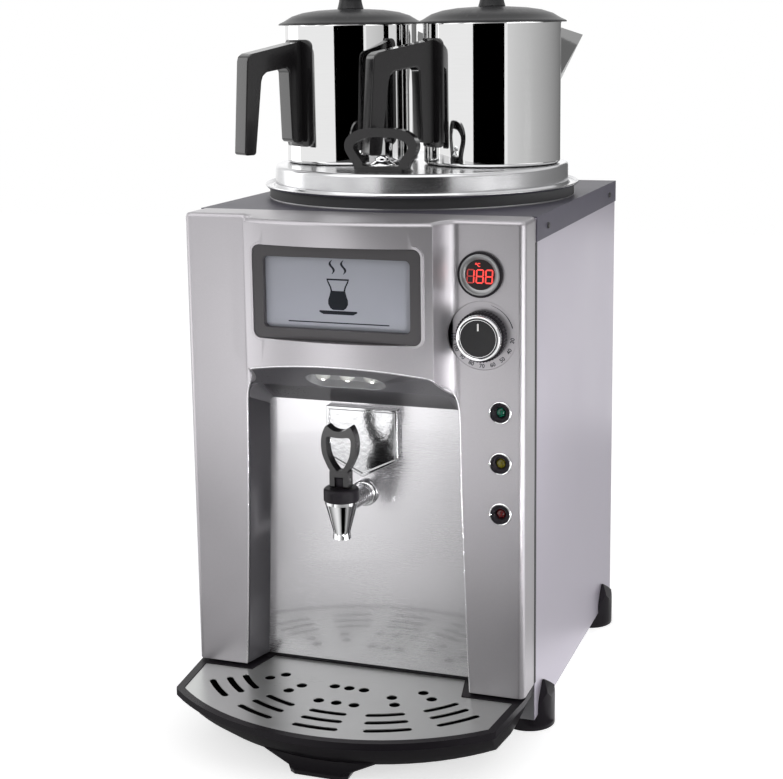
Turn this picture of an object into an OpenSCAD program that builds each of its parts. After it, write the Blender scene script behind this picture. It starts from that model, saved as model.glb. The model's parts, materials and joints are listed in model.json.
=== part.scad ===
// Hot water urn with a lever tap in a lit bay, a slide-out drip tray, and a round
// lid that carries two pots.
// Every module works in the case's own frame: x = 0 is the middle, y = 0 the front
// edge of the side panels with +Y to the back, and z = 0 their bottom edge.
// placed() then stands the part on z = 0 and centres it in x and y.

/* [Case] */
// Width over the side panels
case_w = 360; // [350:1:400]
// Depth of the side panels
case_d = 387; // [370:1:440]
// Height of the case above the side panels' bottom edge
case_h = 522; // [510:1:560]
// Thickness of the sheet steel
sheet = 1; // [0.8:0.1:1.4]
// Thickness of the base plate
base_t = 1.5; // [1:0.1:3]
// Height of the base plate's flanges
base_lip = 25; // [12:1:40]
// Height of the top cover's flanges
cover_flange = 24.6; // [18:0.2:40]
// Radius of a cover screw's thread
screw_r = 2; // [1.5:0.1:3]
// Radius of a cover screw's head
screw_head_r = 3.6; // [3.2:0.1:5]
// Distance of the front cover screws from the case's front edge
screw_front = 45; // [20:1:80]
// Distance of the rear cover screws from the case's rear edge
screw_rear = 38; // [20:1:80]
// Radius of the cable gland's bore
gland_bore_r = 4.5; // [3:0.1:6]
// Reach of the cable gland behind the case
gland_reach = 14; // [8:1:25]

/* [Feet] */
// Height of the feet below the case
foot_h = 18; // [12:1:30]
// Radius of a corner foot
foot_r = 28; // [22:1:34]
// Reach of a corner foot past the case
foot_out = 12; // [9:0.5:16]
// Distance of the front feet from the case's front edge
foot_front = 37; // [30:1:60]
// Distance of the rear feet from the case's rear edge
foot_rear = 50; // [30:1:80]
// Height of a foot's claw on the side panel
claw_h = 31.5; // [20:0.5:45]

/* [Front] */
// Depth of the front's side columns ahead of the case
face_d = 43; // [40:0.5:50]
// Wall thickness of the front moulding
face_wall = 3; // [2.5:0.1:3.5]
// Radius of the columns' outer corners
corner_r = 6.6; // [4:0.1:10]
// Width of the columns' flat faces
flat_w = 58.4; // [54:0.2:64]
// Step of the bowed panel's edges ahead of the columns
bow_d = 32; // [24:1:38]
// Extra reach of the bowed panel at its middle
bow_crown = 15; // [10:0.5:20]
// Width of the hollow flank beside the bowed panel
flank_w = 17; // [14:0.5:22]
// Gap between the columns and the drip tray's rim
column_gap = 2.6; // [1.5:0.1:6]

/* [Bay] */
// Distance of the bay's top corners inside the columns' flat faces
bay_in = 1; // [0.5:0.1:4]
// How much each side of the bay spreads towards its bottom
bay_flare = 9.5; // [6:0.5:12]
// How much each side of the bay closes in towards the back
bay_taper = 9; // [4:0.5:12]
// Distance of the bay's back plate ahead of the case
plate_gap = 6; // [5:0.5:10]
// Distance of the hood's rear edge below the case's top
hood_drop = 197; // [190:1:205]
// Slope of the hood
hood_slope = 33.2; // [28:0.2:36]
// Wall thickness of the bay liner
liner_t = 2.5; // [2:0.1:3]

/* [Hood lamp] */
// Width of the lamp pan
pan_w = 84; // [70:1:100]
// Depth of the lamp pan along the slope
pan_d = 36; // [28:1:44]
// Distance of the lamp pan's middle ahead of the case
pan_y = 57; // [50:1:60]
// Pitch of the three lamps
led_pitch = 26; // [20:1:28]
// Radius of a lamp's dome
led_r = 9; // [6:0.5:9.5]

/* [Sign window] */
// Distance of the window frame from the bowed panel's edges
window_in = 10.5; // [8.5:0.5:20]
// Height over the window frame
window_h = 93.5; // [70:0.5:95]
// Width of the window frame's border
window_border = 11.3; // [9:0.1:16]
// Thickness of the window frame
window_t = 4; // [3:0.5:5]
// Distance of the window's middle below the case's top
window_drop = 71.6; // [70:0.2:75]
// Reach of the window frame's face ahead of the bowed panel's edges
window_rise = 5; // [4:0.5:9]

/* [Controls] */
// Distance of the temperature display's middle from the column's inner edge
display_in = 21; // [20:0.5:29]
// Distance of the temperature display's middle below the case's top
display_drop = 52; // [42:1:58]
// Radius of the display's bezel
display_r = 22.5; // [20:0.5:24]
// Distance of the thermostat knob's middle from the column's inner edge
knob_in = 22.8; // [20:0.2:28]
// Distance of the thermostat knob below the temperature display
knob_drop = 60; // [58:1:66]
// Radius of the knob's skirt
knob_r = 25; // [20:0.5:28]
// Height of the knob from the front
knob_reach = 17; // [14:0.5:22]
// Radius of the round pad behind the knob
pad_r = 34; // [31:0.5:35]
// Distance of the indicator lamps' middle from the column's inner edge
lamp_in = 40.8; // [36:0.2:43]
// Distance of the top indicator lamp below the thermostat knob
lamp_drop = 75.5; // [65:0.5:82]
// Pitch of the indicator lamps
lamp_pitch = 51.3; // [40:0.1:60]
// Radius of an indicator lamp's bezel
lamp_r = 11.5; // [10:0.1:13]

/* [Boiler] */
// Distance of the tank's axis ahead of the case's middle
drum_set = 3.1; // [0:0.1:5]
// Gap between the tank and the side panels
tank_gap = 29; // [27:1:40]
// Distance of the tank's bottom below the tap's inlet
tank_drop = 30.5; // [25:0.5:40]
// Wall thickness of the tank
tank_wall = 1.2; // [1:0.1:2]
// Width of the tank's rim on the cover
rim_w = 20; // [16:1:22]
// Thickness of the insulation jacket
jacket_t = 13; // [6:1:14]
// Gap between the heating element's ring and the tank
element_gap = 60; // [45:1:80]
// Radius of the heating element's tube
element_tube_r = 4; // [3:0.5:5]

/* [Tap] */
// Reach of the tap's axis ahead of the case
tap_y = 74; // [72:1:80]
// Distance of the tap's inlet below the emblem plate's tip
tap_drop = 18; // [17:0.5:24]
// Outer radius of the threaded shank
shank_r = 7; // [6:0.1:7.5]
// Radius of the water way
water_r = 4.5; // [3:0.1:5]
// Radius of the wall flange
flange_r = 14.6; // [14:0.2:16]
// Length of the spout below the bonnet
spout_h = 39.6; // [37:0.2:45]
// Radius of the spout's mouth
spout_r = 9.2; // [8:0.1:11]
// Radius of the tap body's top
body_r = 16.5; // [15.5:0.1:18]
// Radius of the bonnet
bonnet_r = 17.8; // [17.5:0.1:21]
// Height of the bonnet's collar
bonnet_h = 13; // [12:0.5:15]
// Height of the lever above its pin
lever_h = 56; // [50:0.5:60]
// Width of the lever's loop
lever_w = 37; // [34:0.5:44]
// Thickness of the lever's loop
lever_t = 12.5; // [9:0.5:13]
// Radius of the lever's pin
pin_r = 1.5; // [1.2:0.1:2]
// Radius of the plunger
plunger_r = 2.5; // [2:0.1:3]

/* [Emblem plate] */
// Width of the emblem plate
emblem_w = 78; // [60:1:90]
// Gap between the emblem plate and the hood
emblem_gap = 3; // [2:0.5:8]
// Height of the emblem plate's straight sides
emblem_h = 54; // [46:1:58]
// Height of the emblem plate's lower point
emblem_point = 19.5; // [14:0.5:24]
// Thickness of the emblem plate
emblem_t = 8; // [4:0.5:9]

/* [Drip tray] */
// Height of the tray's rim above the case's bottom edge
tray_h = 38; // [32:1:40]
// Reach of the tray ahead of the case
tray_reach = 186; // [180:1:200]
// Distance of the tray's sides inside the case's sides
tray_in = 1; // [0.5:0.5:5]
// Radius of the tray's bowed front
nose_r = 245; // [235:1:260]
// Radius of the tray's corners
tray_corner_r = 10; // [6:0.5:14]
// Width of the tray's rim around the grille
tray_rim = 8.5; // [6:0.5:12]
// Thickness of the grille
grille_t = 1; // [0.8:0.1:1.5]
// Radius of the grille's round holes
grille_hole_r = 5; // [3:0.5:6]
// Width of the grille's slots
slot_w = 6; // [4:0.5:7]
// Height that the grille lifts through
grille_lift = 100; // [60:5:110]

/* [Lid] */
// Overhang of the lid's lip past the tank's rim
lid_over = 5; // [3:0.5:8]
// Width of the lid's lip around its drum
lip_w = 11.5; // [9:0.5:14]
// Height of the lid's top above the case's cover
lid_rise = 36; // [30:1:45]
// Thickness of the lid's sheet
lid_t = 1; // [0.8:0.1:1.5]
// Distance of the lid handle from the drum's edge
lid_handle_in = 33.5; // [30:0.5:39]
// Width of the lid handle's loop
lid_loop_w = 80; // [70:1:90]
// Height of the lid handle's loop
lid_loop_h = 45.7; // [40:0.1:56]
// Thickness of the lid handle's loop
lid_loop_t = 12; // [10:0.5:14]

/* [Pots] */
// Distance of the pots from the lid's rounded edge
pot_edge = 2.5; // [2:0.5:10]
// Height of a pot's body
pot_h = 151.5; // [140:0.5:170]
// Wall thickness of a pot
pot_wall = 0.8; // [0.6:0.1:1.2]
// Gap between the pots
pot_gap = 14; // [14:0.5:20]
// Turn of the left pot's handle from straight ahead
left_turn = -33; // [-40:1:-20]
// Turn of the right pot's handle from straight ahead
right_turn = -47; // [-50:1:-36]
// Reach of a pot's handle from the pot's wall, at its foot
grip_reach = 76; // [66:1:78]
// Lean of the handle's outer limb from its top to its foot
grip_lean = 6; // [0:0.5:10]
// Width of a pot's handle
grip_w = 22; // [16:0.5:26]
// Thickness of a pot handle's limbs
limb_t = 14.5; // [12:0.5:16]
// Reach of a pot's spout from the pot's wall
beak_reach = 38; // [30:1:44]
// Height of the spout's foot on the pot
beak_low = 68; // [50:1:90]
// Overhang of a pot's lid past the pot's wall
pot_lid_out = 6; // [3:0.5:6.4]
// Height of a pot lid's dome
dome_h = 17; // [14:0.5:24]
// Height of a pot lid's knob
pot_knob_h = 29; // [20:1:36]

/* [Hidden] */
$fn = 96;
// Clearances: between touching pieces that move apart, and between fitted ones
seat = 0.3;
fit = 0.05;

inner_x = case_w / 2 - sheet;
cover_under = case_h - sheet;
mid_y = (case_d + gland_reach - tray_reach) / 2;
front_bottom = tray_h + column_gap;

foot_x = case_w / 2 + foot_out - foot_r;
foot_ys = [foot_front, case_d - foot_rear];
screw_ys = [screw_front, case_d - screw_rear];
screw_z = case_h - 0.55 * cover_flange;
claw_steps = 10;
claw_tip = 0.5;
claw_lean = 4;
// The claw's outer edge as shares of its reach and its height
claw_shares = [[1, 0.25], [0.88, 0.5], [0.59, 0.76], [0.2, 1]];

gland_x = 120;
gland_z = 60;
vent_x = 80;
vent_w = 90;
vent_h = 5;
vent_z = 380;
vent_count = 8;
vent_pitch = 14;

// Plan of the front: the bow is an arc about [0, bow_cy]
bow_w = case_w - 2 * (corner_r + flat_w + flank_w);
bow_edge = face_d + bow_d;
bow_r = (pow(bow_w / 2, 2) + pow(bow_crown, 2)) / (2 * bow_crown);
bow_cy = bow_r - bow_edge - bow_crown;
flank_x = bow_w / 2 + flank_w;
front_reach = bow_edge + bow_crown;

// Bay: half its width at a height z, and at a place y behind the mouth
hood_low = case_h - hood_drop;
hood_front = hood_low + (face_d - plate_gap) * tan(hood_slope);
bay_w_top = 2 * (flank_x - bay_in);
flare_even = 0.36;
bay_steps = 6;

// Window: the frame lies against a ledge in a lip that joins the bowed panel
window_w = bow_w - 2 * window_in;
window_z = case_h - window_drop;
window_y = bow_edge + window_rise;
window_back = window_t - window_y;
sign_front = window_back + face_wall;
sign_t = 2;
backlight_t = 7;
window_lip = 2.5;
window_proud = 0.6;
window_ledge = 7;

// Barrels that pass through the front moulding end behind it
barrel_end = face_d - face_wall - 4;
display_x = flank_x + display_in;
display_z = case_h - display_drop;
knob_x = flank_x + knob_in;
knob_z = display_z - knob_drop;
lamp_x = flank_x + lamp_in;
lamp_z = knob_z - lamp_drop;
lamp_zs = [lamp_z, lamp_z - lamp_pitch, lamp_z - 2 * lamp_pitch];
lamp_bore_r = lamp_r - 4;
display_bore_r = display_r - 5;
pad_depth = 0.5;
shaft_r = 3;
board_x = display_x - 38;
board_z = knob_z - 10;
board_w = 70;
board_h = 100;
board_t = 1.6;
spacer_h = 6;
spacer_in = 6;
// Blocks on the board, each given by its place on the board and its size
relay = [22, 15.4, 20];
relay_places = [[12, 14], [12, 40]];
driver = [20, 12.4, 40];
driver_place = [42, 16];
knob_back = face_d - pad_depth + 0.4;
lamp_back = 15;
display_back = 18;
skirt_h = 0.55 * knob_reach;
ring_r = knob_r - 3;
cap_r = ring_r - 2.5;

emblem_top = hood_low - emblem_gap;
emblem_side = emblem_top - emblem_h;
emblem_tip = emblem_side - emblem_point;

// Tap: heights that follow the inlet
tap_z = emblem_tip - tap_drop;
bonnet_z = tap_z + 11.5;
spout_z = bonnet_z - spout_h;
bonnet_top = bonnet_z + bonnet_h;
bonnet_round = 3;
// Lever: a fork on a pin in the plunger's head, whose foot rolls on the bonnet and lifts it
pin_z = bonnet_top + 8;
head_r = 3;
head_w = 8.6;
fork_w = 20;
fork_y = 6.5;
fork_top = 9;
fork_round = 2;
slot_top = head_r + 0.4;
spigot_r = 12;
spigot_h = 4;
chamber_r = 10;
chamber_z = bonnet_z - 19.3;
cup_r = 8.6;
cup_h = 7;
arm_end_r = 6;
flange_t = 11;
socket_l = 10;
nut_r = shank_r + 6;
nut_h = 8;

tank_r = inner_x - tank_gap;
tank_z = tap_z - tank_drop;
rim_r = tank_r + rim_w;
drum_y = case_d / 2 - drum_set;
tank_top = case_h + tank_wall;
tank_front = drum_y - tank_r;
element_r = tank_r - element_gap;
element_rise = 22;
element_z = tank_z + element_rise;
leg_drop = 22;
leg_x = 12;
leg_y = sqrt(element_r * element_r - leg_x * leg_x);
leg_r = element_tube_r + 1.5;
seal_w = 14;
seal_in = rim_r - seal_w;
seal_h = 10.5;
lid_z = tank_top + seal_h + seat;
lid_top = case_h + lid_rise;
lid_r = rim_r + lid_over;
drum_r = lid_r - lip_w;
lid_handle_r = drum_r - lid_handle_in;
drum_round = 4;
cap_z = 0.13 * lid_loop_h + 0.6;

pot_z = lid_top + seat;
pot_round = 4;
pot_r = (drum_r - drum_round - pot_edge - pot_gap / 2) / 2;
left_x = -pot_r - pot_gap / 2;
right_x = pot_r + pot_gap / 2;
pot_bore = pot_r - pot_wall;
pot_floor = pot_wall + 0.4;
pot_lid_z = pot_h + seat;
plate_r = pot_r + 1.6;
plate_low = 20;
plate_high = pot_h - 15.5;
grip_r = pot_r + grip_reach;
grip_low = 14;
grip_top = pot_h - 17;
bar_drop = 12.5;
bar_h = 20;
short_low = 25;
beak_high = pot_h - 4;
beak_half = 26;

tray_w = case_w - 2 * tray_in;
nose_cy = nose_r - tray_reach;
tray_shoulder = 37;
corner_y = 112;
tray_lean = 6;
tray_back = 0.4;
tray_deck = 48;
foot_top_w = 100;
foot_base_w = 60;
ledge = 4;
slot_radii = [144, 161, 179];
slot_turns = [-46.5, -23.2, 0, 23.2, 46.5];
slot_span = 13;
hole_radii = [104, 121.5];
hole_turns = [-47, -28.3, 28.3, 47];
grille_cy = 21;
row_ys = [62, 99];
row_pitches = [16, 19];

steel = [0.72, 0.72, 0.75];
dark = [0.17, 0.17, 0.18];
slate = [0.36, 0.34, 0.40];
silver = [0.78, 0.77, 0.80];
chrome = [0.88, 0.88, 0.90];
black = [0.08, 0.08, 0.09];

// ---- Shapes that repeat -------------------------------------------------------

module placed() translate([0, -mid_y, foot_h]) children();

// A box given by its lowest and highest corners
module span(low, high) translate(low) cube(high - low);

module both_sides() for (side = [0, 1]) mirror([side, 0, 0]) children();

// An x-z outline carried from y0 back to y1
module along_y(y0, y1) translate([0, y1, 0]) rotate([90, 0, 0]) linear_extrude(y1 - y0) children();

// A y-z outline carried from x0 to x1
module along_x(x0, x1) translate([x0, 0, 0]) rotate([90, 0, 90]) linear_extrude(x1 - x0) children();

// A round bar along y, and one along x
module bar_y(r, y0, y1) translate([0, y1, 0]) rotate([90, 0, 0]) cylinder(r = r, h = y1 - y0);
module bar_x(r, x0, x1) translate([x0, 0, 0]) rotate([0, 90, 0]) cylinder(r = r, h = x1 - x0);

module ring_y(r_out, r_in, y0, y1) difference() {
    bar_y(r_out, y0, y1);
    bar_y(r_in, y0 - 1, y1 + 1);
}

module rounded_rect(w, h, r) {
    square([w - 2 * r, h], center = true);
    square([w, h - 2 * r], center = true);
    for (x = [-1, 1], y = [-1, 1]) translate([x * (w / 2 - r), y * (h / 2 - r)]) circle(r, $fn = 48);
}

// A closed skin through rings of points, each anticlockwise from above, lowest first
module skin(rings) {
    n = len(rings[0]);
    top = (len(rings) - 1) * n;
    sides = [
        for (k = [0:len(rings) - 2], i = [0:n - 1])
            let (a = k * n + i, b = k * n + (i + 1) % n) each [[a, a + n, b + n], [a, b + n, b]]
    ];
    polyhedron(
        points = [for (ring = rings) each ring],
        faces = concat([[for (i = [0:n - 1]) i]], [[for (i = [n - 1:-1:0]) top + i]], sides)
    );
}

function arc(cx, cy, r, a0, a1, n) =
    [for (i = [0:n]) let (a = a0 + (a1 - a0) * i / n) [cx + r * cos(a), cy + r * sin(a)]];

// The points' mirror image, without a first point that lies on the mirror
function mirrored(points) =
    [for (i = [len(points) - 1:-1:(points[0].x == 0 ? 1 : 0)]) [-points[i].x, points[i].y]];

function level(points, z) = [for (p = points) [p.x, p.y, z]];

// A smooth closed curve through the given points
function smooth(p, n) = let (m = len(p)) [
    for (i = [0:m - 1], k = [0:n - 1])
        let (a = p[(i + m - 1) % m], b = p[i], c = p[(i + 1) % m], d = p[(i + 2) % m], t = k / n)
            0.5 * (2 * b + (c - a) * t + (2 * a - 5 * b + 4 * c - d) * t * t
                + (3 * b - a - 3 * c + d) * t * t * t)
];

// The right half of an outline given by its points, closed with its mirror image
function symmetric(half) = concat(mirrored(half), half);

// ---- Case ---------------------------------------------------------------------

module chassis_base() color(steel) placed() difference() {
    union() {
        span([-inner_x, 0, 0], [inner_x, case_d - sheet, base_t]);
        both_sides() span([inner_x - base_t, sheet, 0], [inner_x, case_d - sheet, base_lip]);
        span([-inner_x, case_d - sheet - base_t, 0], [inner_x, case_d - sheet, base_lip]);
    }
    for (x = [-foot_x, foot_x], y = foot_ys) translate([x, y, -1]) cylinder(r = screw_r, h = base_t + 2);
}

module chassis_front() color(steel) placed() difference() {
    span([-inner_x, 0, base_t], [inner_x, sheet, cover_under]);
    translate([0, 0, tap_z]) bar_y(shank_r + fit, -1, sheet + 1);
    // Wire ways behind the controls
    for (z = [display_z, knob_z, lamp_z]) translate([lamp_x, 0, z]) bar_y(6, -1, sheet + 1);
}

module side_panel() difference() {
    span([inner_x, 0, 0], [case_w / 2, case_d, cover_under]);
    for (y = screw_ys) translate([0, y, screw_z]) bar_x(screw_r + fit, inner_x - 1, case_w / 2 + 1);
}

module left_side_panel() color(silver) placed() mirror([1, 0, 0]) side_panel();
module right_side_panel() color(silver) placed() side_panel();

module rear_panel() color(steel) placed() difference() {
    span([-inner_x, case_d - sheet, 0], [inner_x, case_d, cover_under]);
    for (x = [-1, 1], i = [0:vent_count - 1])
        translate([x * vent_x, 0, vent_z + i * vent_pitch])
            along_y(case_d - sheet - 1, case_d + 1) rounded_rect(vent_w, vent_h, vent_h / 2 - 0.1);
    translate([gland_x, 0, gland_z]) bar_y(gland_bore_r + 3.5, case_d - sheet - 1, case_d + 1);
}

module cable_gland() color(black) placed() translate([gland_x, 0, gland_z]) difference() {
    union() {
        bar_y(gland_bore_r + 3.5 - fit, case_d - sheet - 10, case_d);
        translate([0, case_d, 0]) rotate([-90, 0, 0])
            cylinder(r1 = gland_bore_r + 7, r2 = gland_bore_r + 2.5, h = gland_reach);
        translate([0, case_d - sheet, 0]) rotate([90, 0, 0]) cylinder(r = gland_bore_r + 7, h = 5, $fn = 6);
    }
    bar_y(gland_bore_r, case_d - sheet - 11, case_d + gland_reach + 1);
}

module top_cover() color(slate) placed() difference() {
    union() {
        span([-case_w / 2 - sheet, 0, cover_under], [case_w / 2 + sheet, case_d + sheet, case_h]);
        both_sides()
            span([case_w / 2, 0, case_h - cover_flange], [case_w / 2 + sheet, case_d + sheet, case_h]);
        span([-case_w / 2, case_d, case_h - cover_flange], [case_w / 2, case_d + sheet, case_h]);
    }
    translate([0, drum_y, cover_under - 1]) cylinder(r = tank_r + seat, h = sheet + 2);
    for (x = [-1, 1], y = screw_ys) translate([0, y, screw_z])
        mirror([x > 0 ? 0 : 1, 0, 0]) bar_x(screw_r + fit, case_w / 2 - 1, case_w / 2 + sheet + 1);
}

module cover_screws() color(chrome) placed() both_sides() for (y = screw_ys) translate([0, y, screw_z]) {
    bar_x(screw_r, inner_x - 5, case_w / 2 + sheet);
    translate([case_w / 2 + sheet, 0, 0]) rotate([0, 90, 0])
        cylinder(r1 = screw_head_r, r2 = screw_head_r - 1, h = 1.8);
}

// A foot is a round pad with a pointed claw that clasps the side panel's edge
module corner_feet() color(black) placed() both_sides() for (y = foot_ys) translate([0, y, 0]) {
    translate([foot_x, 0, -foot_h]) difference() {
        cylinder(r = foot_r, h = foot_h);
        translate([0, 0, foot_h / 2]) cylinder(r = screw_r, h = foot_h);
    }
    intersection() {
        translate([foot_x, 0, -foot_h / 2]) cylinder(r = foot_r, h = foot_h / 2 + claw_h);
        along_x(case_w / 2 + seat, case_w / 2 + foot_out) polygon([
            for (p = symmetric([
                for (i = [0:claw_steps]) let (t = 1 - i / claw_steps)
                    [foot_r * (1 - t * t) + claw_tip, claw_h * t - foot_h / 2 * (1 - t)]
            ]))
                [p.x - claw_lean * pow(max(p.y, 0) / claw_h, 2), p.y]
        ]);
        along_y(-foot_r, foot_r) translate([case_w / 2 + seat, 0]) polygon(concat(
            [[0, claw_h], [0, -foot_h / 2], [foot_out - seat, -foot_h / 2]],
            [for (p = claw_shares) [(foot_out - seat) * p[0], claw_h * p[1]]]
        ));
    }
}

// ---- Front --------------------------------------------------------------------

// Half of the front's plan, set in by t from its outer face, from the middle out
function front_half(t) = concat(
    arc(0, bow_cy, bow_r - t, -90, -90 + asin((bow_w / 2 - t) / (bow_r - t)), 16),
    [
        for (a = [6:7:90])
            [flank_x - (flank_w + t) * cos(a), -bow_edge + (bow_d + t) * sin(a)]
    ],
    [[flank_x, t - face_d]],
    arc(case_w / 2 - corner_r, corner_r - face_d, corner_r - t, -90, 0, 8),
    [[case_w / 2 - t, 0]]
);

module front_plan(t) polygon(symmetric(front_half(t)));

function hood_z(y) = hood_low + (-y - plate_gap) * tan(hood_slope);

function bay_half(z) = let (s = (hood_front - z) / (hood_front - front_bottom))
    bay_w_top / 2 + bay_flare * (flare_even * s + (1 - flare_even) * s * s);

function bay_side(y, z) = bay_half(z) - bay_taper * (y + face_d) / (face_d - plate_gap);

function bay_ring(y0, y1, z0, z1, grow) = [
    [-bay_side(y0, z0) - grow, y0, z0], [bay_side(y0, z0) + grow, y0, z0],
    [bay_side(y1, z1) + grow, y1, z1], [-bay_side(y1, z1) - grow, y1, z1]
];

// The bay's space from y0 back to y1, with its sides and hood moved out by grow
module bay_space(y0, y1, bottom, grow) {
    rise = grow / cos(hood_slope);
    skin(concat(
        [for (i = [0:bay_steps]) let (z = bottom + (hood_low - 20 - bottom) * i / bay_steps)
            bay_ring(y0, y1, z, z, grow)],
        [bay_ring(y0, y1, hood_z(y0) + rise, hood_z(y1) + rise, grow)]
    ));
}

// The bay's mouth as seen from the front, cut off under the hood's slope
module bay_mouth() intersection() {
    along_y(-front_reach - 10, 1) polygon(symmetric(concat(
        [for (i = [0:bay_steps]) let (z = front_bottom - 1 + (hood_front - front_bottom) * i / bay_steps)
            [bay_half(z), z]],
        [[bay_w_top / 2, hood_front + bow_edge]]
    )));
    along_x(-case_w, case_w) polygon([
        [-2 * front_reach, 0], [10, 0], [10, hood_z(10)], [-2 * front_reach, hood_z(-2 * front_reach)]
    ]);
}

// The window frame's outline, set in by t
module window_shape(t, r) translate([0, window_z])
    rounded_rect(window_w - 2 * t, window_h - 2 * t, r);

// The space inside the front moulding, open at the back, around the window's lip
module front_hollow() difference() {
    union() {
        translate([0, 0, front_bottom + face_wall])
            linear_extrude(case_h - front_bottom - 2 * face_wall) front_plan(face_wall);
        span([face_wall - case_w / 2, -face_wall - 1, front_bottom + face_wall],
             [case_w / 2 - face_wall, 1, case_h - face_wall]);
    }
    along_y(-front_reach, sign_front) window_shape(-window_lip, 10);
}

module front_fascia() color(silver) placed() difference() {
    union() {
        translate([0, 0, front_bottom]) linear_extrude(case_h - front_bottom) front_plan(0);
        along_y(-window_y - window_proud, -face_d) window_shape(-window_lip, 10);
    }
    front_hollow();
    bay_mouth();
    bay_space(face_wall - face_d, 1, front_bottom - 1, liner_t + fit);
    along_y(-front_reach - 2, window_back) window_shape(-fit, 8);
    along_y(-front_reach - 2, sign_front + 1) window_shape(window_ledge, 5);
    translate([knob_x, 0, knob_z]) {
        bar_y(pad_r, -front_reach, pad_depth - face_d);
        bar_y(shaft_r + 2, -face_d - 1, face_wall - face_d + 1);
    }
    translate([display_x, 0, display_z]) bar_y(display_bore_r + 2 + fit, -face_d - 1, face_wall - face_d + 1);
    for (z = lamp_zs) translate([lamp_x, 0, z])
        bar_y(lamp_bore_r + 1.5 + fit, -face_d - 1, face_wall - face_d + 1);
}

// Moves a flat piece onto the hood's slope: its own z axis points up into the hood
module on_hood(y) translate([0, -y, hood_z(-y)]) rotate([-hood_slope, 0, 0]) children();

module pan_outline(grow) {
    r = pan_d / 2 + grow;
    square([pan_w - pan_d, 2 * r], center = true);
    for (x = [-1, 1]) translate([x * (pan_w - pan_d) / 2, 0]) circle(r);
}

module bay_liner() color(dark) placed() difference() {
    union() {
        bay_space(face_wall - face_d, -plate_gap, front_bottom, liner_t);
        intersection() {
            translate([0, 0, hood_low - 10]) linear_extrude(case_h - hood_low) front_plan(face_wall + seat);
            along_x(-bay_w_top / 2 - liner_t, bay_w_top / 2 + liner_t) polygon([
                for (p = [[-front_reach, 0], [-plate_gap, 0], [-plate_gap, liner_t], [-front_reach, liner_t]])
                    [p.x, hood_z(p.x) + p.y / cos(hood_slope)]
            ]);
        }
    }
    bay_space(-front_reach - 20, 1, front_bottom - 1, 0);
    on_hood(pan_y) translate([0, 0, -1]) linear_extrude(liner_t + 4) pan_outline(fit);
}

pan_rise = 9;
module hood_lamp_pan() color(chrome) placed() on_hood(pan_y) difference() {
    linear_extrude(pan_rise) pan_outline(0);
    translate([0, 0, -1]) linear_extrude(pan_rise - 0.2) pan_outline(-1.5);
}

module hood_lamps() color("white") placed() on_hood(pan_y)
    for (i = [-1:1]) translate([i * led_pitch, 0, pan_rise - 1.2]) intersection() {
        translate([0, 0, led_r - 7]) sphere(led_r);
        translate([0, 0, -led_r * 2]) cylinder(r = led_r + 1, h = led_r * 2);
    }

function plate_half(z) = bay_side(-plate_gap, z) + liner_t;
plate_top = hood_low + liner_t;

module bay_plate_outline(grow) {
    top_r = 8;
    half = concat(
        [for (i = [0:bay_steps]) let (z = front_bottom + (plate_top - top_r - front_bottom) * i / bay_steps)
            [plate_half(z) + grow, z - (i == 0 ? grow : 0)]],
        arc(plate_half(plate_top) - top_r, plate_top - top_r, top_r + grow, 15, 90, 6)
    );
    polygon(symmetric(half));
}

module bay_back_plate() color(steel) placed() difference() {
    along_y(-plate_gap, 0) bay_plate_outline(0);
    along_y(sheet - plate_gap, 1) bay_plate_outline(-sheet);
    translate([0, 0, tap_z]) bar_y(shank_r + fit, -plate_gap - 1, 1);
}

module window_frame() color([0.2, 0.19, 0.2]) placed() difference() {
    union() {
        along_y(-window_y, window_back) window_shape(0, 8);
        along_y(window_back - 1, sign_front) window_shape(window_ledge + fit, 5);
    }
    along_y(-window_y - 1, sign_front + 1) window_shape(window_border, 5);
}

module sign_panel() color([0.78, 0.8, 0.86]) placed()
    along_y(sign_front, sign_front + sign_t) window_shape(3, 3);

module sign_backlight() color("white") placed()
    along_y(sign_front + sign_t, sign_front + sign_t + backlight_t) window_shape(window_border, 3);

// ---- Controls -----------------------------------------------------------------

module display_bezel() color(black) placed() translate([display_x, 0, display_z]) {
    ring_y(display_r, display_bore_r, -face_d - 4, -face_d);
    ring_y(display_bore_r + 2, display_bore_r, -face_d, -barrel_end);
}

module display_lens() color([0.25, 0.03, 0.03]) placed() translate([display_x, 0, display_z])
    bar_y(display_bore_r - fit, -face_d - 2.5, -face_d);

module display_module() color(black) placed() translate([display_x, 0, display_z])
    bar_y(display_bore_r - fit, -face_d, -display_back);

module thermostat_body() color(dark) placed() translate([knob_x, 0, knob_z]) difference() {
    span([-17, face_wall - face_d, -17], [17, -12, 17]);
    bar_y(shaft_r + fit, -face_d, -20);
}

module thermostat_shaft() color(steel) placed() translate([knob_x, 0, knob_z])
    bar_y(shaft_r, -knob_back - skirt_h - 2, -21);

module knob_skirt() color(black) placed() translate([knob_x, 0, knob_z]) {
    ring_y(knob_r, shaft_r + 0.02, -knob_back - skirt_h, -knob_back);
    ring_y(cap_r - 1, shaft_r + 0.02, -knob_back - knob_reach + 2, -knob_back - skirt_h);
}

module knob_ring() color(chrome) placed() translate([knob_x, 0, knob_z]) difference() {
    translate([0, -knob_back - skirt_h, 0]) rotate([90, 0, 0])
        cylinder(r1 = ring_r + 1, r2 = ring_r, h = knob_reach - skirt_h);
    bar_y(cap_r, -knob_back - knob_reach - 1, -knob_back);
}

module knob_cap() color(dark) placed() translate([knob_x, 0, knob_z])
    bar_y(cap_r - 0.02, -knob_back - knob_reach + 0.6, -knob_back - knob_reach + 2);

module lamp_bezels() color(chrome) placed() for (z = lamp_zs) translate([lamp_x, 0, z]) {
    ring_y(lamp_r, lamp_bore_r, -face_d - 2.5, -face_d);
    ring_y(lamp_bore_r + 1.5, lamp_bore_r, -face_d, -barrel_end);
}

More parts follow.
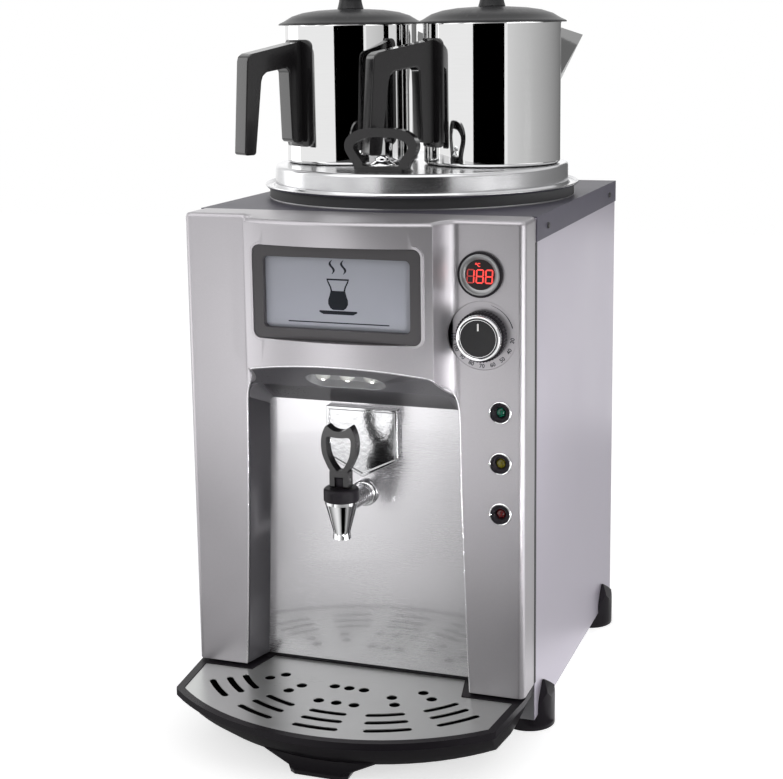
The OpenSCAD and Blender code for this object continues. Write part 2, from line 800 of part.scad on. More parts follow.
module lamp_lens(z) translate([lamp_x, 2 - face_d, z]) rotate([90, 0, 0]) intersection() {
    translate([0, 0, -2.5]) sphere(5.5, $fn = 48);
    cylinder(r = 6, h = 6);
}

module green_lens() color([0.05, 0.35, 0.2]) placed() lamp_lens(lamp_zs[0]);
module amber_lens() color([0.45, 0.45, 0.05]) placed() lamp_lens(lamp_zs[1]);
module red_lens() color([0.45, 0.05, 0.05]) placed() lamp_lens(lamp_zs[2]);

module lamp_bodies() color(black) placed() for (z = lamp_zs) translate([lamp_x, 0, z])
    bar_y(lamp_bore_r - fit, 2 - face_d, -lamp_back);

module control_board() color([0.1, 0.35, 0.2]) placed() translate([board_x, sheet, board_z]) {
    translate([0, spacer_h, 0]) cube([board_w, board_t, board_h]);
    for (x = [spacer_in, board_w - spacer_in], z = [spacer_in, board_h - spacer_in])
        translate([x, 0, z]) bar_y(spacer_in / 2, 0, spacer_h);
    for (p = relay_places) translate([p.x, spacer_h + board_t, p.y]) cube(relay);
    translate([driver_place.x, spacer_h + board_t, driver_place.y]) cube(driver);
}

// ---- Boiler -------------------------------------------------------------------

module boiler_tank() color(steel) placed() difference() {
    translate([0, drum_y, 0]) rotate_extrude() polygon([
        [0, tank_z], [tank_r, tank_z], [tank_r, case_h], [rim_r, case_h], [rim_r, tank_top],
        [tank_r - tank_wall, tank_top], [tank_r - tank_wall, tank_z + tank_wall], [0, tank_z + tank_wall]
    ]);
    translate([0, 0, tap_z]) bar_y(shank_r + fit, tank_front - 5, tank_front + 5);
    for (x = [-leg_x, leg_x]) translate([x, drum_y - leg_y, tank_z - 1])
        cylinder(r = leg_r + fit, h = tank_wall + 2);
}

module insulation_jacket() color([0.85, 0.8, 0.6]) placed() difference() {
    translate([0, drum_y, tank_z]) difference() {
        cylinder(r = tank_r + seat + jacket_t, h = cover_under - tank_z - 6);
        translate([0, 0, -1]) cylinder(r = tank_r + seat, h = cover_under);
    }
    translate([0, 0, tap_z]) bar_y(nut_r + 2, 0, tank_front + 20);
}

// An open ring low in the tank, with two ferrules that leave through the tank's bottom
module heating_element() color(chrome) placed() translate([0, drum_y, 0]) {
    gap = asin(leg_x / element_r);
    rotate([0, 0, -90 + gap]) translate([0, 0, element_z])
        rotate_extrude(angle = 360 - 2 * gap) translate([element_r, 0]) circle(element_tube_r, $fn = 32);
    for (x = [-leg_x, leg_x]) translate([x, -leg_y, tank_z - leg_drop])
        cylinder(r = leg_r, h = leg_drop + element_rise + leg_r);
}

module dry_boil_cutout() color(dark) placed() translate([40, drum_y, tank_z - 12]) {
    cylinder(r = 12, h = 12);
    for (x = [-7, 7]) translate([x - 3, -0.5, -8]) cube([6, 1, 8.5]);
}

module rim_seal() color(black) placed() translate([0, drum_y, tank_top]) difference() {
    cylinder(r = rim_r, h = seal_h);
    translate([0, 0, -1]) cylinder(r = seal_in, h = seal_h + 2);
}

// ---- Tap ----------------------------------------------------------------------

module tap_shank() color(steel) placed() translate([0, 0, tap_z])
    ring_y(shank_r, water_r, -plate_gap - flange_t - socket_l + 1, tank_front + 6);

module shank_nut() color(steel) placed() translate([0, 0, tap_z]) difference() {
    translate([0, sheet + nut_h, 0]) rotate([90, 0, 0]) cylinder(r = nut_r, h = nut_h, $fn = 6);
    bar_y(shank_r + fit, 0, sheet + nut_h + 1);
}

module tap_flange() color(chrome) placed() translate([0, -plate_gap, tap_z]) rotate([90, 0, 0])
    difference() {
        rotate_extrude() polygon(concat(
            [[0, 0], [flange_r, 0], [flange_r, 2]],
            arc(flange_r - 6.5, 2, 6.5, 0, 60, 8),
            [[arm_end_r + 4, flange_t], [0, flange_t]]
        ));
        translate([0, 0, -1]) cylinder(r = shank_r + fit, h = flange_t + 2);
    }

module tap_body() color(chrome) placed() translate([0, -tap_y, 0]) difference() {
    union() {
        rotate_extrude() polygon(concat(
            [[0, spout_z], [spout_r, spout_z], [spout_r - 0.6, spout_z + 6], [spout_r + 0.2, spout_z + 10]],
            [[body_r - 0.8, bonnet_z - 6], [body_r, bonnet_z - 3], [body_r, bonnet_z], [0, bonnet_z]]
        ));
        translate([0, 0, tap_z]) rotate([-90, 0, 0])
            cylinder(r1 = arm_end_r, r2 = arm_end_r + 4, h = tap_y - plate_gap - flange_t);
    }
    translate([0, 0, spout_z - 1]) cylinder(r = spout_r - 2, h = spout_h);
    translate([0, 0, chamber_z]) cylinder(r = chamber_r, h = spout_h);
    translate([0, 0, bonnet_z - spigot_h - seat]) cylinder(r = spigot_r, h = spigot_h + 1);
    translate([0, 0, tap_z]) bar_y(water_r, chamber_r - 4, tap_y);
    translate([0, 0, tap_z]) bar_y(shank_r + fit, tap_y - plate_gap - flange_t - socket_l, tap_y);
}

module tap_bonnet() color(black) placed() translate([0, -tap_y, 0]) difference() {
    union() {
        rotate_extrude() polygon(concat(
            [[0, bonnet_z], [bonnet_r, bonnet_z]],
            arc(bonnet_r - bonnet_round, bonnet_top - bonnet_round, bonnet_round, 0, 90, 8),
            [[0, bonnet_top]]
        ));
        translate([0, 0, bonnet_z - spigot_h]) cylinder(r = spigot_r - fit, h = spigot_h + 1);
    }
    translate([0, 0, bonnet_z - spigot_h - 1]) cylinder(r = plunger_r + fit, h = bonnet_h + spigot_h + 2);
}

// Outlines of the lever's loop as shares of its half width and its height
lever_outer = [
    [0.3, 0.12], [0.56, 0.2], [0.74, 0.31], [0.93, 0.46], [1, 0.63], [0.96, 0.79],
    [0.84, 0.91], [0.71, 0.985], [0.59, 0.98], [0.4, 0.93], [0.15, 0.9]
];
lever_inner = [
    [0.1, 0.175], [0.2, 0.21], [0.42, 0.31], [0.62, 0.46], [0.7, 0.63], [0.7, 0.74], [0.58, 0.79], [0.2, 0.78]
];

function scaled_half(shares, w, h) = [for (p = shares) [p.x * w / 2, p.y * h]];

// The fork's foot in y and z from the pin, with rounded lower edges that roll on the bonnet
module fork_side() {
    low = bonnet_top + seat - pin_z;
    polygon(concat(
        [[fork_y, fork_top], [-fork_y, fork_top]],
        arc(fork_round - fork_y, low + fork_round, fork_round, 180, 270, 6),
        arc(fork_y - fork_round, low + fork_round, fork_round, 270, 360, 6)
    ));
}

module tap_lever() color(dark) placed() translate([0, -tap_y, pin_z]) difference() {
    union() {
        along_x(-fork_w / 2, fork_w / 2) fork_side();
        along_y(-lever_t / 2, lever_t / 2) difference() {
            polygon(smooth(symmetric(scaled_half(lever_outer, lever_w, lever_h)), 4));
            polygon(smooth(symmetric(scaled_half(lever_inner, lever_w, lever_h)), 4));
        }
    }
    span([-head_w / 2 - seat, -fork_y - 1, -fork_w], [head_w / 2 + seat, fork_y + 1, slot_top]);
    bar_x(pin_r + fit, -fork_w, fork_w);
}

module lever_pin() color(steel) placed() translate([0, -tap_y, pin_z])
    bar_x(pin_r, -fork_w / 2, fork_w / 2);

// A stem from the seat cup up through the bonnet, with a flat head on the lever's pin
module tap_plunger() color(steel) placed() translate([0, -tap_y, 0]) difference() {
    stem_z = chamber_z + seat + cup_h;
    union() {
        translate([0, 0, stem_z]) cylinder(r = plunger_r, h = pin_z - stem_z);
        span([-head_w / 2, -head_r, bonnet_top + seat], [head_w / 2, head_r, pin_z]);
        translate([0, 0, pin_z]) bar_x(head_r, -head_w / 2, head_w / 2);
    }
    translate([0, 0, pin_z]) bar_x(pin_r + 0.02, -head_w, head_w);
}

module seat_cup() color([0.8, 0.8, 0.78]) placed() translate([0, -tap_y, chamber_z + seat])
    cylinder(r1 = cup_r, r2 = cup_r - 2.5, h = cup_h);

module emblem_outline(in) polygon([
    [-emblem_w / 2 + in, emblem_side + 0.4 * in], [0, emblem_tip + 1.1 * in],
    [emblem_w / 2 - in, emblem_side + 0.4 * in], [emblem_w / 2 - in, emblem_top - in],
    [-emblem_w / 2 + in, emblem_top - in]
]);

module emblem_plate() color(chrome) placed() difference() {
    along_y(-plate_gap - emblem_t, -plate_gap) emblem_outline(0);
    along_y(-plate_gap - emblem_t - 1, -plate_gap - emblem_t + 1.5) emblem_outline(3.5);
}

// ---- Drip tray ----------------------------------------------------------------

// Half of the tray's plan from the middle of its bowed front to its back corner, set
// in by side and front; its corner arc touches both the front arc and the side
function tray_half(side, front, back) =
    let (
        r = nose_r - front,
        rc = max(tray_corner_r - side, 2),
        lean_x = function (y) tray_w / 2 - side + (y + tray_shoulder) * tan(tray_lean) - rc / cos(tray_lean),
        x1 = lean_x(-corner_y),
        y1 = nose_cy - sqrt(pow(r - rc, 2) - x1 * x1),
        x2 = lean_x(y1),
        y2 = nose_cy - sqrt(pow(r - rc, 2) - x2 * x2),
        turn = atan2(y2 - nose_cy, x2)
    )
    concat(
        [for (i = [0:11]) let (a = -90 + (turn + 90) * i / 12) [r * cos(a), nose_cy + r * sin(a)]],
        arc(x2, y2, rc, turn, -tray_lean, 5),
        [[tray_w / 2 - side, -tray_shoulder], [tray_w / 2 - side, -back]]
    );

function tray_ring(z, side, front, back) = level(symmetric(tray_half(side, front, back)), z);

function tongue_half(y) = bay_side(y, tray_h + grille_lift) - 3;

// The grille is wide ahead of the columns and narrows to a tongue between them
module grille_plan(grow) {
    back = plate_gap + 0.5 - grow;
    intersection() {
        polygon(symmetric(tray_half(tray_rim - grow, tray_rim - grow, 0)));
        translate([-case_w, -2 * case_w]) square([2 * case_w, 2 * case_w - tray_deck + grow]);
    }
    polygon(symmetric([
        [tongue_half(-tray_deck) + grow, -tray_deck - 2 * ledge], [tongue_half(-back) + grow, -back]
    ]));
}

module drip_tray() color(black) placed() difference() {
    union() {
        skin([
            tray_ring(0, 14, 35, 12), tray_ring(tray_h * 0.37, 8, 17, 6),
            tray_ring(tray_h - 8, 3, 3, tray_back),
            tray_ring(tray_h - 7, 0, 0, tray_back), tray_ring(tray_h, 0, 0, tray_back)
        ]);
        skin([
            for (p = [[-foot_h, foot_base_w, 152, 128], [-foot_h * 0.6, foot_base_w * 1.08, 152, 122],
                      [1, foot_top_w * 1.15, 150, 100], [6, foot_top_w * 1.3, 150, 90]])
                [[-p[1] / 2, -p[2] + 4, p[0]], [-p[1] / 2 + 6, -p[2], p[0]], [p[1] / 2 - 6, -p[2], p[0]],
                 [p[1] / 2, -p[2] + 4, p[0]], [p[1] / 2, -p[3], p[0]], [-p[1] / 2, -p[3], p[0]]]
        ]);
    }
    translate([0, 0, tray_h - grille_t - 0.8 - seat]) linear_extrude(10) grille_plan(seat);
    intersection() {
        skin([
            tray_ring(8, 22, 42, 14), tray_ring(tray_h * 0.5, 11, 15, 8), tray_ring(tray_h + 1, 11, 11, 8)
        ]);
        translate([0, 0, 7]) linear_extrude(tray_h) grille_plan(-ledge);
    }
}

function grille_spot(r, a) = [r * sin(a), grille_cy - r * cos(a)];

module arc_slot(r, turn) {
    half = slot_span / 2;
    polygon(concat(
        [for (i = [0:8]) grille_spot(r + slot_w / 2, turn - half + slot_span * i / 8)],
        [for (i = [8:-1:0]) grille_spot(r - slot_w / 2, turn - half + slot_span * i / 8)]
    ));
    for (end = [-half, half]) translate(grille_spot(r, turn + end)) circle(slot_w / 2, $fn = 24);
}

module drip_grille() color([0.75, 0.76, 0.76]) placed() translate([0, 0, tray_h - 0.8 - grille_t])
    linear_extrude(grille_t) difference() {
        grille_plan(0);
        for (turn = slot_turns, r = slot_radii) arc_slot(r, turn);
        for (turn = hole_turns, r = hole_radii)
            translate(grille_spot(r, turn)) circle(grille_hole_r, $fn = 32);
        for (row = [0, 1], i = [-1:1])
            translate([i * row_pitches[row], -row_ys[row]]) circle(grille_hole_r, $fn = 32);
    }

// ---- Lid ----------------------------------------------------------------------

module lid_shell() color(steel) placed() translate([0, drum_y, 0]) {
    rotate_extrude() polygon(concat(
        [[lid_r, lid_z + 3.4], [lid_r - lid_t, lid_z + 3.4], [lid_r - lid_t - 1.4, lid_z + lid_t],
         [drum_r + 2, lid_z + lid_t], [drum_r, lid_z + lid_t + 3]],
        arc(drum_r - drum_round, lid_top - drum_round, drum_round, 0, 90, 8),
        [[0, lid_top], [0, lid_top - lid_t], [tank_r - tank_wall - 2, lid_top - lid_t],
         [tank_r - tank_wall - 2, lid_z - 24], [tank_r - tank_wall - 0.8, lid_z - 24],
         [tank_r - tank_wall - 0.8, lid_top - lid_t]],
        arc(drum_r - drum_round, lid_top - drum_round, drum_round - lid_t, 90, 0, 8),
        [[drum_r - lid_t, lid_z + lid_t + 3], [drum_r + 1, lid_z], [lid_r - 1.6, lid_z], [lid_r, lid_z + 2]]
    ));
}

// Outlines of the lid's loop handle as shares of its half width and its height
loop_outer = [
    [0.7, 0], [0.72, 0.06], [0.80, 0.22], [0.95, 0.42], [1, 0.58], [0.95, 0.74], [0.76, 0.89], [0.4, 0.98]
];
loop_inner = [
    [0.42, 0.13], [0.5, 0.21], [0.66, 0.40], [0.75, 0.54], [0.68, 0.66], [0.46, 0.75], [0.2, 0.785]
];

module lid_handle() color(dark) placed() translate([0, drum_y - lid_handle_r, lid_top]) {
    along_y(-lid_loop_t / 2, lid_loop_t / 2) difference() {
        intersection() {
            polygon(smooth(symmetric(scaled_half(loop_outer, lid_loop_w, lid_loop_h)), 4));
            translate([-lid_loop_w, 0]) square([2 * lid_loop_w, 2 * lid_loop_h]);
        }
        polygon(smooth(symmetric(scaled_half(loop_inner, lid_loop_w, lid_loop_h)), 4));
    }
    linear_extrude(3) rounded_rect(0.76 * lid_loop_w, lid_loop_t + 8, 6);
}

module lid_vent_cap() color(chrome) placed()
    translate([0, drum_y - lid_handle_r, lid_top + cap_z]) rotate_extrude() polygon([
        [0, 0], [lid_loop_t / 2 + 8, 0], [lid_loop_t / 2 + 7, 1.5], [lid_loop_t / 2 + 2, 5],
        [lid_loop_t / 2 + 2, 8], [lid_loop_t / 2, 10], [0, 10.5]
    ]);

// ---- Pots ---------------------------------------------------------------------

// A pot's own frame: its axis is x = y = 0, its handle points to -Y, its base is z = 0
module at_pot(x, turn) placed() translate([x, drum_y, pot_z]) rotate([0, 0, turn]) children();

module beak(in) skin([
    [[-1 + in / 2, pot_r - 6, beak_low + 2.5 * in], [1 - in / 2, pot_r - 6, beak_low + 2.5 * in],
     [1 - in / 2, pot_r - 1, beak_low + 2.5 * in], [-1 + in / 2, pot_r - 1, beak_low + 2.5 * in]],
    [[-beak_half + in, pot_r - 10, beak_high + in], [beak_half - in, pot_r - 10, beak_high + in],
     [2 - in, pot_r + beak_reach - 2 * in, beak_high - 10 + in],
     [-2 + in, pot_r + beak_reach - 2 * in, beak_high - 10 + in]]
]);

module pot() difference() {
    union() {
        rotate_extrude() polygon(concat(
            [[0, 0]], arc(pot_r - pot_round, pot_round, pot_round, -90, 0, 6),
            [[pot_r, pot_h - 1.5], [pot_r + 0.7, pot_h], [pot_bore, pot_h], [0, pot_h]]
        ));
        beak(0);
    }
    rotate_extrude() polygon(concat(
        [[0, pot_floor]],
        arc(pot_r - pot_round, pot_floor + pot_round - pot_wall, pot_round - pot_wall, -90, 0, 6),
        [[pot_bore, pot_h + 1], [0, pot_h + 1]]
    ));
    beak(1);
}

// The handle's outline beside the pot: a bar with a long outer and a short inner limb
module grip_outline() {
    bar_out = grip_top - bar_drop;
    hole_top = bar_out - bar_h;
    out = -grip_r + grip_lean;
    polygon([
        [-grip_r, grip_low + 2], [out, bar_out - 8], [out + 1.5, bar_out - 3], [out + 6, bar_out],
        [-pot_r, grip_top], [-pot_r, short_low + 3], [-pot_r - 4, short_low],
        [-pot_r - limb_t + 3, short_low], [-pot_r - limb_t, short_low + 3],
        [-pot_r - limb_t - 2.5, hole_top], [-pot_r - limb_t - 6, hole_top + 4],
        [out + limb_t + 10, hole_top], [out + limb_t + 5, hole_top - 4], [out + limb_t + 3, hole_top - 10],
        [-grip_r + limb_t, grip_low + 2], [-grip_r + limb_t - 2, grip_low], [-grip_r + 2, grip_low]
    ]);
}

module pot_handle() difference() {
    union() {
        along_x(-grip_w / 2, grip_w / 2) grip_outline();
        intersection() {
            cylinder(r = plate_r, h = pot_h);
            along_y(-pot_r - 5, -pot_r / 2) translate([0, (plate_low + plate_high) / 2])
                rounded_rect(grip_w + 28, plate_high - plate_low, 8);
        }
    }
    translate([0, 0, -1]) cylinder(r = pot_r + fit, h = pot_h + 2);
}

module pot_lid() translate([0, 0, pot_lid_z]) rotate_extrude() polygon([
    [0, dome_h], [18, dome_h], [38, dome_h - 1.2], [54, dome_h - 3.6], [66, dome_h - 7.4],
    [pot_r, 4.2], [pot_r + pot_lid_out - 1, 2], [pot_r + pot_lid_out, 1.2], [pot_r + pot_lid_out, 0],
    [pot_bore - 0.8, 0], [pot_bore - 0.8, -8], [pot_bore - 2.8, -8], [pot_bore - 2.8, 0.5],
    [64, dome_h - 10.4], [53, dome_h - 6.2], [38, dome_h - 3.6], [18, dome_h - 2.4], [0, dome_h - 2.4]
]);

module pot_knob() translate([0, 0, pot_lid_z + dome_h]) rotate_extrude() polygon([
    [0, 0], [15, 0], [14, 3], [12.6, 9], [12.6, 13], [14.6, 20], [15.6, pot_knob_h - 5],
    [14.4, pot_knob_h - 1.6], [11, pot_knob_h], [0, pot_knob_h]
]);

module left_pot() color(chrome) at_pot(left_x, left_turn) pot();
module left_pot_handle() color(dark) at_pot(left_x, left_turn) pot_handle();
module left_pot_lid() color(dark) at_pot(left_x, left_turn) pot_lid();
module left_pot_knob() color(dark) at_pot(left_x, left_turn) pot_knob();
module right_pot() color(chrome) at_pot(right_x, right_turn) pot();
module right_pot_handle() color(dark) at_pot(right_x, right_turn) pot_handle();
module right_pot_lid() color(dark) at_pot(right_x, right_turn) pot_lid();
module right_pot_knob() color(dark) at_pot(right_x, right_turn) pot_knob();

// ---- Nodes --------------------------------------------------------------------

chassis_base();
chassis_front();
left_side_panel();
right_side_panel();
rear_panel();
top_cover();
cover_screws();
corner_feet();
cable_gland();
front_fascia();
bay_liner();
bay_back_plate();
hood_lamp_pan();
hood_lamps();
window_frame();
sign_panel();
sign_backlight();
display_bezel();
display_lens();
display_module();
thermostat_body();
thermostat_shaft();
knob_skirt();
knob_ring();
knob_cap();
lamp_bezels();
green_lens();
amber_lens();
red_lens();
lamp_bodies();
control_board();
boiler_tank();
insulation_jacket();
heating_element();
dry_boil_cutout();
rim_seal();
tap_shank();
shank_nut();
tap_flange();
tap_body();
tap_bonnet();
tap_lever();
lever_pin();
tap_plunger();
seat_cup();
emblem_plate();
drip_tray();
drip_grille();
lid_shell();
lid_handle();
lid_vent_cap();
left_pot();
left_pot_handle();
left_pot_lid();
left_pot_knob();
right_pot();
right_pot_handle();
right_pot_lid();
right_pot_knob();
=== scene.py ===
"""Finished pieces, finishes, studio and camera for a hot water urn with a lit bay and two serving pots."""
import json
import math

import bmesh
import bpy
from bpy.props import FloatProperty, FloatVectorProperty, IntProperty, PointerProperty
from mathutils import Matrix, Vector

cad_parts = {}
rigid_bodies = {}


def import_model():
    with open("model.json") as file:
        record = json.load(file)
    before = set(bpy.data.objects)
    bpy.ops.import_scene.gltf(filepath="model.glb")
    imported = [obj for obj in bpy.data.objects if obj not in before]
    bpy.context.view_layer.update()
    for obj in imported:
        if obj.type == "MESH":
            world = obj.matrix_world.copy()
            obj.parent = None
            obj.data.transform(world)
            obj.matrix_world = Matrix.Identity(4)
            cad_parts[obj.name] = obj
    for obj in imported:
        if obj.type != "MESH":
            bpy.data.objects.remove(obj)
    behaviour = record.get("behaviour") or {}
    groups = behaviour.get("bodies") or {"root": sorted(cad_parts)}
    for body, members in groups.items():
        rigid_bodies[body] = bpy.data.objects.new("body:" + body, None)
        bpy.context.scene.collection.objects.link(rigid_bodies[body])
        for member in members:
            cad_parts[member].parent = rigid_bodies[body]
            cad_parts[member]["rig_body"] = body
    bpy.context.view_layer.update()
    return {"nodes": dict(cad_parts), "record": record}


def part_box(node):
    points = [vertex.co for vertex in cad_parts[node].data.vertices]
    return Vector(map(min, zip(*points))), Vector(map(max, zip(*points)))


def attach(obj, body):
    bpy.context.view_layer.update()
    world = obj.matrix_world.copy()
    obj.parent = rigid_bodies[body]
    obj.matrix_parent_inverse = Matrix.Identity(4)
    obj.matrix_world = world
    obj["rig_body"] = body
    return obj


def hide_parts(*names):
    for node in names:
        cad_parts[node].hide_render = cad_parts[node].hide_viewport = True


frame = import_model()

bl_info = {
    "name": "Hot water urn",
    "version": (1, 0, 0),
    "blender": (4, 5, 0),
    "location": "3D View > Sidebar > Urn",
    "description": "Dresses the urn's frame with its finished pieces, and sets its studio and camera",
    "category": "Add Mesh",
}

MM = 0.001
NODES = frame["nodes"]
SLOTS = {part["node"]: part["material_slot"] for part in frame["record"]["subparts"]}


# ---- Values a user would change ------------------------------------------------

def length(label, mm, text):
    return FloatProperty(
        name=label, description=text, default=mm * MM, min=0.0, max=1.0, unit="LENGTH",
        subtype="DISTANCE", precision=5,
    )


def colour(label, rgb, text):
    return FloatVectorProperty(
        name=label, description=text, default=rgb, min=0.0, max=1.0, size=3, subtype="COLOR"
    )


def amount(label, value, text, high=10.0):
    return FloatProperty(name=label, description=text, default=value, min=0.0, max=high)


class UrnColours(bpy.types.PropertyGroup):
    """Colours of the urn's finishes."""

    side: colour("Side panels", (0.48, 0.45, 0.52), "Satin lilac-silver of the side panels")
    cover: colour("Top cover", (0.085, 0.08, 0.105), "Slate paint of the top cover")
    front: colour("Front", (0.41, 0.395, 0.415), "Metallic silver of the front moulding")
    liner: colour("Bay liner", (0.085, 0.082, 0.09), "Semi-gloss grey of the bay")
    steel: colour("Steel", (0.56, 0.56, 0.57), "Brushed stainless steel")
    chrome: colour("Chrome", (0.86, 0.86, 0.87), "Polished chrome")
    black: colour("Black plastic", (0.014, 0.012, 0.015), "Tray, feet and bezels")
    grip: colour("Grips", (0.013, 0.012, 0.013), "Handles of the pots and of the boiler's lid")
    lids: colour("Pot lids", (0.036, 0.036, 0.038), "Lids and knobs of the pots")
    window: colour("Window frame", (0.055, 0.051, 0.055), "Brown-grey frame round the sign")
    sign: colour("Sign", (0.36, 0.37, 0.42), "Translucent sheet of the sign")
    print: colour("Print", (0.02, 0.022, 0.028), "Picture on the sign and numbers round the knob")
    digits: colour("Digits", (1.0, 0.05, 0.04), "Lit segments of the display")


class UrnSizes(bpy.types.PropertyGroup):
    """Roundings and small details of the finished pieces."""

    front_round: length("Front's top edge", 4.5, "Rounding along the top of the front moulding")
    front_ease: length("Front's edges", 0.7, "Easing of the front moulding's other edges")
    sheet_ease: length("Sheet edges", 0.3, "Easing of sheet metal edges")
    tray_ease: length("Tray's edges", 1.4, "Rounding of the drip tray's edges")
    foot_ease: length("Feet's edges", 1.6, "Rounding of the feet's edges")
    lever_round: length("Lever's edges", 2.4, "Rounding of the tap lever's edges")
    loop_round: length("Lid loop's edges", 4.4, "Rounding of the lid handle's edges")
    grip_round: length("Pot grips' edges", 4.6, "Rounding of the pot handles' edges")
    bead_r: length("Bay's bead", 0.8, "Radius of the bead round the bay's mouth")
    corner_cut: length("Bay's corners", 19.0, "Size of the rounding in the bay's upper corners")
    pointer_w: length("Pointer's width", 1.6, "Width of the white line on the knob")
    number_h: length("Dial numbers' height", 4.0, "Height of the numbers round the knob")
    digit_h: length("Digits' height", 14.0, "Height of the display's digits")
    glass_h: length("Tea glass' height", 46.0, "Height of the tea glass on the sign")
    turned_steps: IntProperty(name="Turned steps", description="Facets round a turned piece", default=160,
                              min=32, max=256)


class UrnStudio(bpy.types.PropertyGroup):
    """Light and camera."""

    sky: amount("Surround", 0.5, "Level of the plain light that falls from all round")
    key: amount("Key lamp", 10.0, "Power of the lamp at the front left", 200.0)
    fill: amount("Strip lamp", 8.0, "Power of the tall lamp at the right", 200.0)
    spot: amount("Front lamp", 0.22, "Power of the lamp on the front's middle", 200.0)
    lens: FloatProperty(name="Lens", description="Focal length on a 36 mm wide film", default=71.31,
                        min=20, max=200, unit="CAMERA")


def chosen(name):
    """One of the urn's sizes in millimetres."""
    return getattr(bpy.context.scene.urn_sizes, name) / MM


# ---- Places --------------------------------------------------------------------

def mm_box(node):
    """A CAD node's lowest and highest corners in millimetres."""
    return tuple(Vector(corner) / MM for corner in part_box(node))


def faced(node, y):
    """The middle of a CAD node as the front shows it, at a depth of its own, in millimetres."""
    low, high = mm_box(node)
    return Vector(((low.x + high.x) / 2, y, (low.z + high.z) / 2))


CASE_LOW = mm_box("right_side_panel")[0]
CASE_FRONT = CASE_LOW.y
CASE_FOOT = CASE_LOW.z


def at_case(x, y, z):
    """A place given from the case's middle, its front edge and its bottom edge, in millimetres."""
    return Vector((x, y + CASE_FRONT, z + CASE_FOOT))


# ---- Mesh helpers --------------------------------------------------------------

WELD = 0.004 * MM
FLAT = math.radians(0.3)
CREASE = math.radians(27)
UPRIGHT = Matrix.Rotation(math.radians(90), 4, "X")


def shares(count):
    """Evenly spaced numbers from 0 to 1."""
    return [i / count for i in range(count + 1)]


def linked(name, data):
    piece = bpy.data.objects.new(name, data)
    bpy.context.scene.collection.objects.link(piece)
    return piece


def baked(piece):
    """Applies a piece's modifiers, or turns a curve or text into a mesh."""
    graph = bpy.context.evaluated_depsgraph_get()
    graph.update()
    mesh = bpy.data.meshes.new_from_object(
        piece.evaluated_get(graph), preserve_all_data_layers=True, depsgraph=graph)
    name = piece.name
    bpy.data.objects.remove(piece)
    mesh.name = name
    return linked(name, mesh)


def smooth(piece, angle=35):
    """Smooth shading with sharp edges past the angle."""
    piece.data.shade_smooth()
    piece.data.set_sharp_from_angle(angle=math.radians(angle))
    return piece


def meshed(name, build):
    mesh = bpy.data.meshes.new(name)
    build.to_mesh(mesh)
    build.free()
    return linked(name, mesh)


def solid(name, build):
    """A mesh whose faces all look outward."""
    bmesh.ops.recalc_face_normals(build, faces=build.faces)
    return meshed(name, build)


def eased_copy(node, rules, segments=2, reshape=None):
    """A copy of a CAD node with its edges eased. Each rule is (width in mm, test of an edge or None)."""
    build = bmesh.new()
    build.from_mesh(NODES[node].data)
    if reshape:
        reshape(build)
    bmesh.ops.remove_doubles(build, verts=build.verts, dist=WELD)
    bmesh.ops.dissolve_limit(build, angle_limit=FLAT, verts=build.verts, edges=build.edges)
    for width, wanted in rules:
        edges = [
            edge for edge in build.edges
            if edge.is_manifold and edge.calc_face_angle() > CREASE and (wanted is None or wanted(edge))
        ]
        bmesh.ops.bevel(
            build, geom=edges, offset=width * MM, offset_type="OFFSET", segments=segments,
            profile=0.5, affect="EDGES", clamp_overlap=True,
        )
    piece = smooth(solid(f"{node}_eased", build), 32)
    piece.modifiers.new("even shading", "WEIGHTED_NORMAL").keep_sharp = True
    return baked(piece)


def turned(name, profile, at, facing="front", steps=None, ribs=None):
    """A turned piece: closed (radius, height) points in mm round the axis through a place in mm.

    Ribs are (how many, how deep, beyond which radius)."""
    steps = steps or bpy.context.scene.urn_sizes.turned_steps
    if ribs:
        steps = 4 * ribs[0]
    build = bmesh.new()
    rows = []
    for full, height in profile:
        row = []
        for i in range(1 if full < 1e-6 else steps):
            turn = 2 * math.pi * i / steps
            radius = full - ribs[1] if ribs and full > ribs[2] and i % 4 > 1 else full
            x, y = radius * math.cos(turn), radius * math.sin(turn)
            spot = Vector((x, y, height)) if facing == "up" else Vector((x, -height, y))
            row.append(build.verts.new((at + spot) * MM))
        rows.append(row)
    for low, high in zip(rows, rows[1:] + rows[:1]):
        for i in range(steps):
            j = (i + 1) % steps
            corners = [low[i % len(low)], low[j % len(low)], high[j % len(high)], high[i % len(high)]]
            corners = list(dict.fromkeys(corners))
            if len(corners) > 2:
                build.faces.new(corners)
    return smooth(solid(name, build))


def rounded(points, radius):
    """A closed outline with its corners rounded."""
    out = []
    for i, point in enumerate(points):
        here = Vector(point)
        back = Vector(points[i - 1]) - here
        ahead = Vector(points[(i + 1) % len(points)]) - here
        bend = math.pi - back.angle(ahead)
        if bend < 0.02:
            out.append(tuple(here))
            continue
        cut = min(radius * math.tan(bend / 2), 0.48 * back.length, 0.48 * ahead.length)
        start, end = here + back.normalized() * cut, here + ahead.normalized() * cut
        pull = math.cos(bend / 2)
        for t in shares(5):
            whole = (1 - t) ** 2 + 2 * pull * t * (1 - t) + t * t
            spot = (start * (1 - t) ** 2 + here * 2 * pull * t * (1 - t) + end * t * t) / whole
            out.append(tuple(spot))
    return out


def new_curve(name, kind, **settings):
    data = bpy.data.curves.new(name, kind)
    for setting, value in settings.items():
        setattr(data, setting, value)
    return data


def add_line(data, places, closed):
    """A straight-sided spline through places in metres."""
    spline = data.splines.new("POLY")
    spline.points.add(len(places) - 1)
    for point, place in zip(spline.points, places):
        point.co = (*place, 1)
    spline.use_cyclic_u = closed


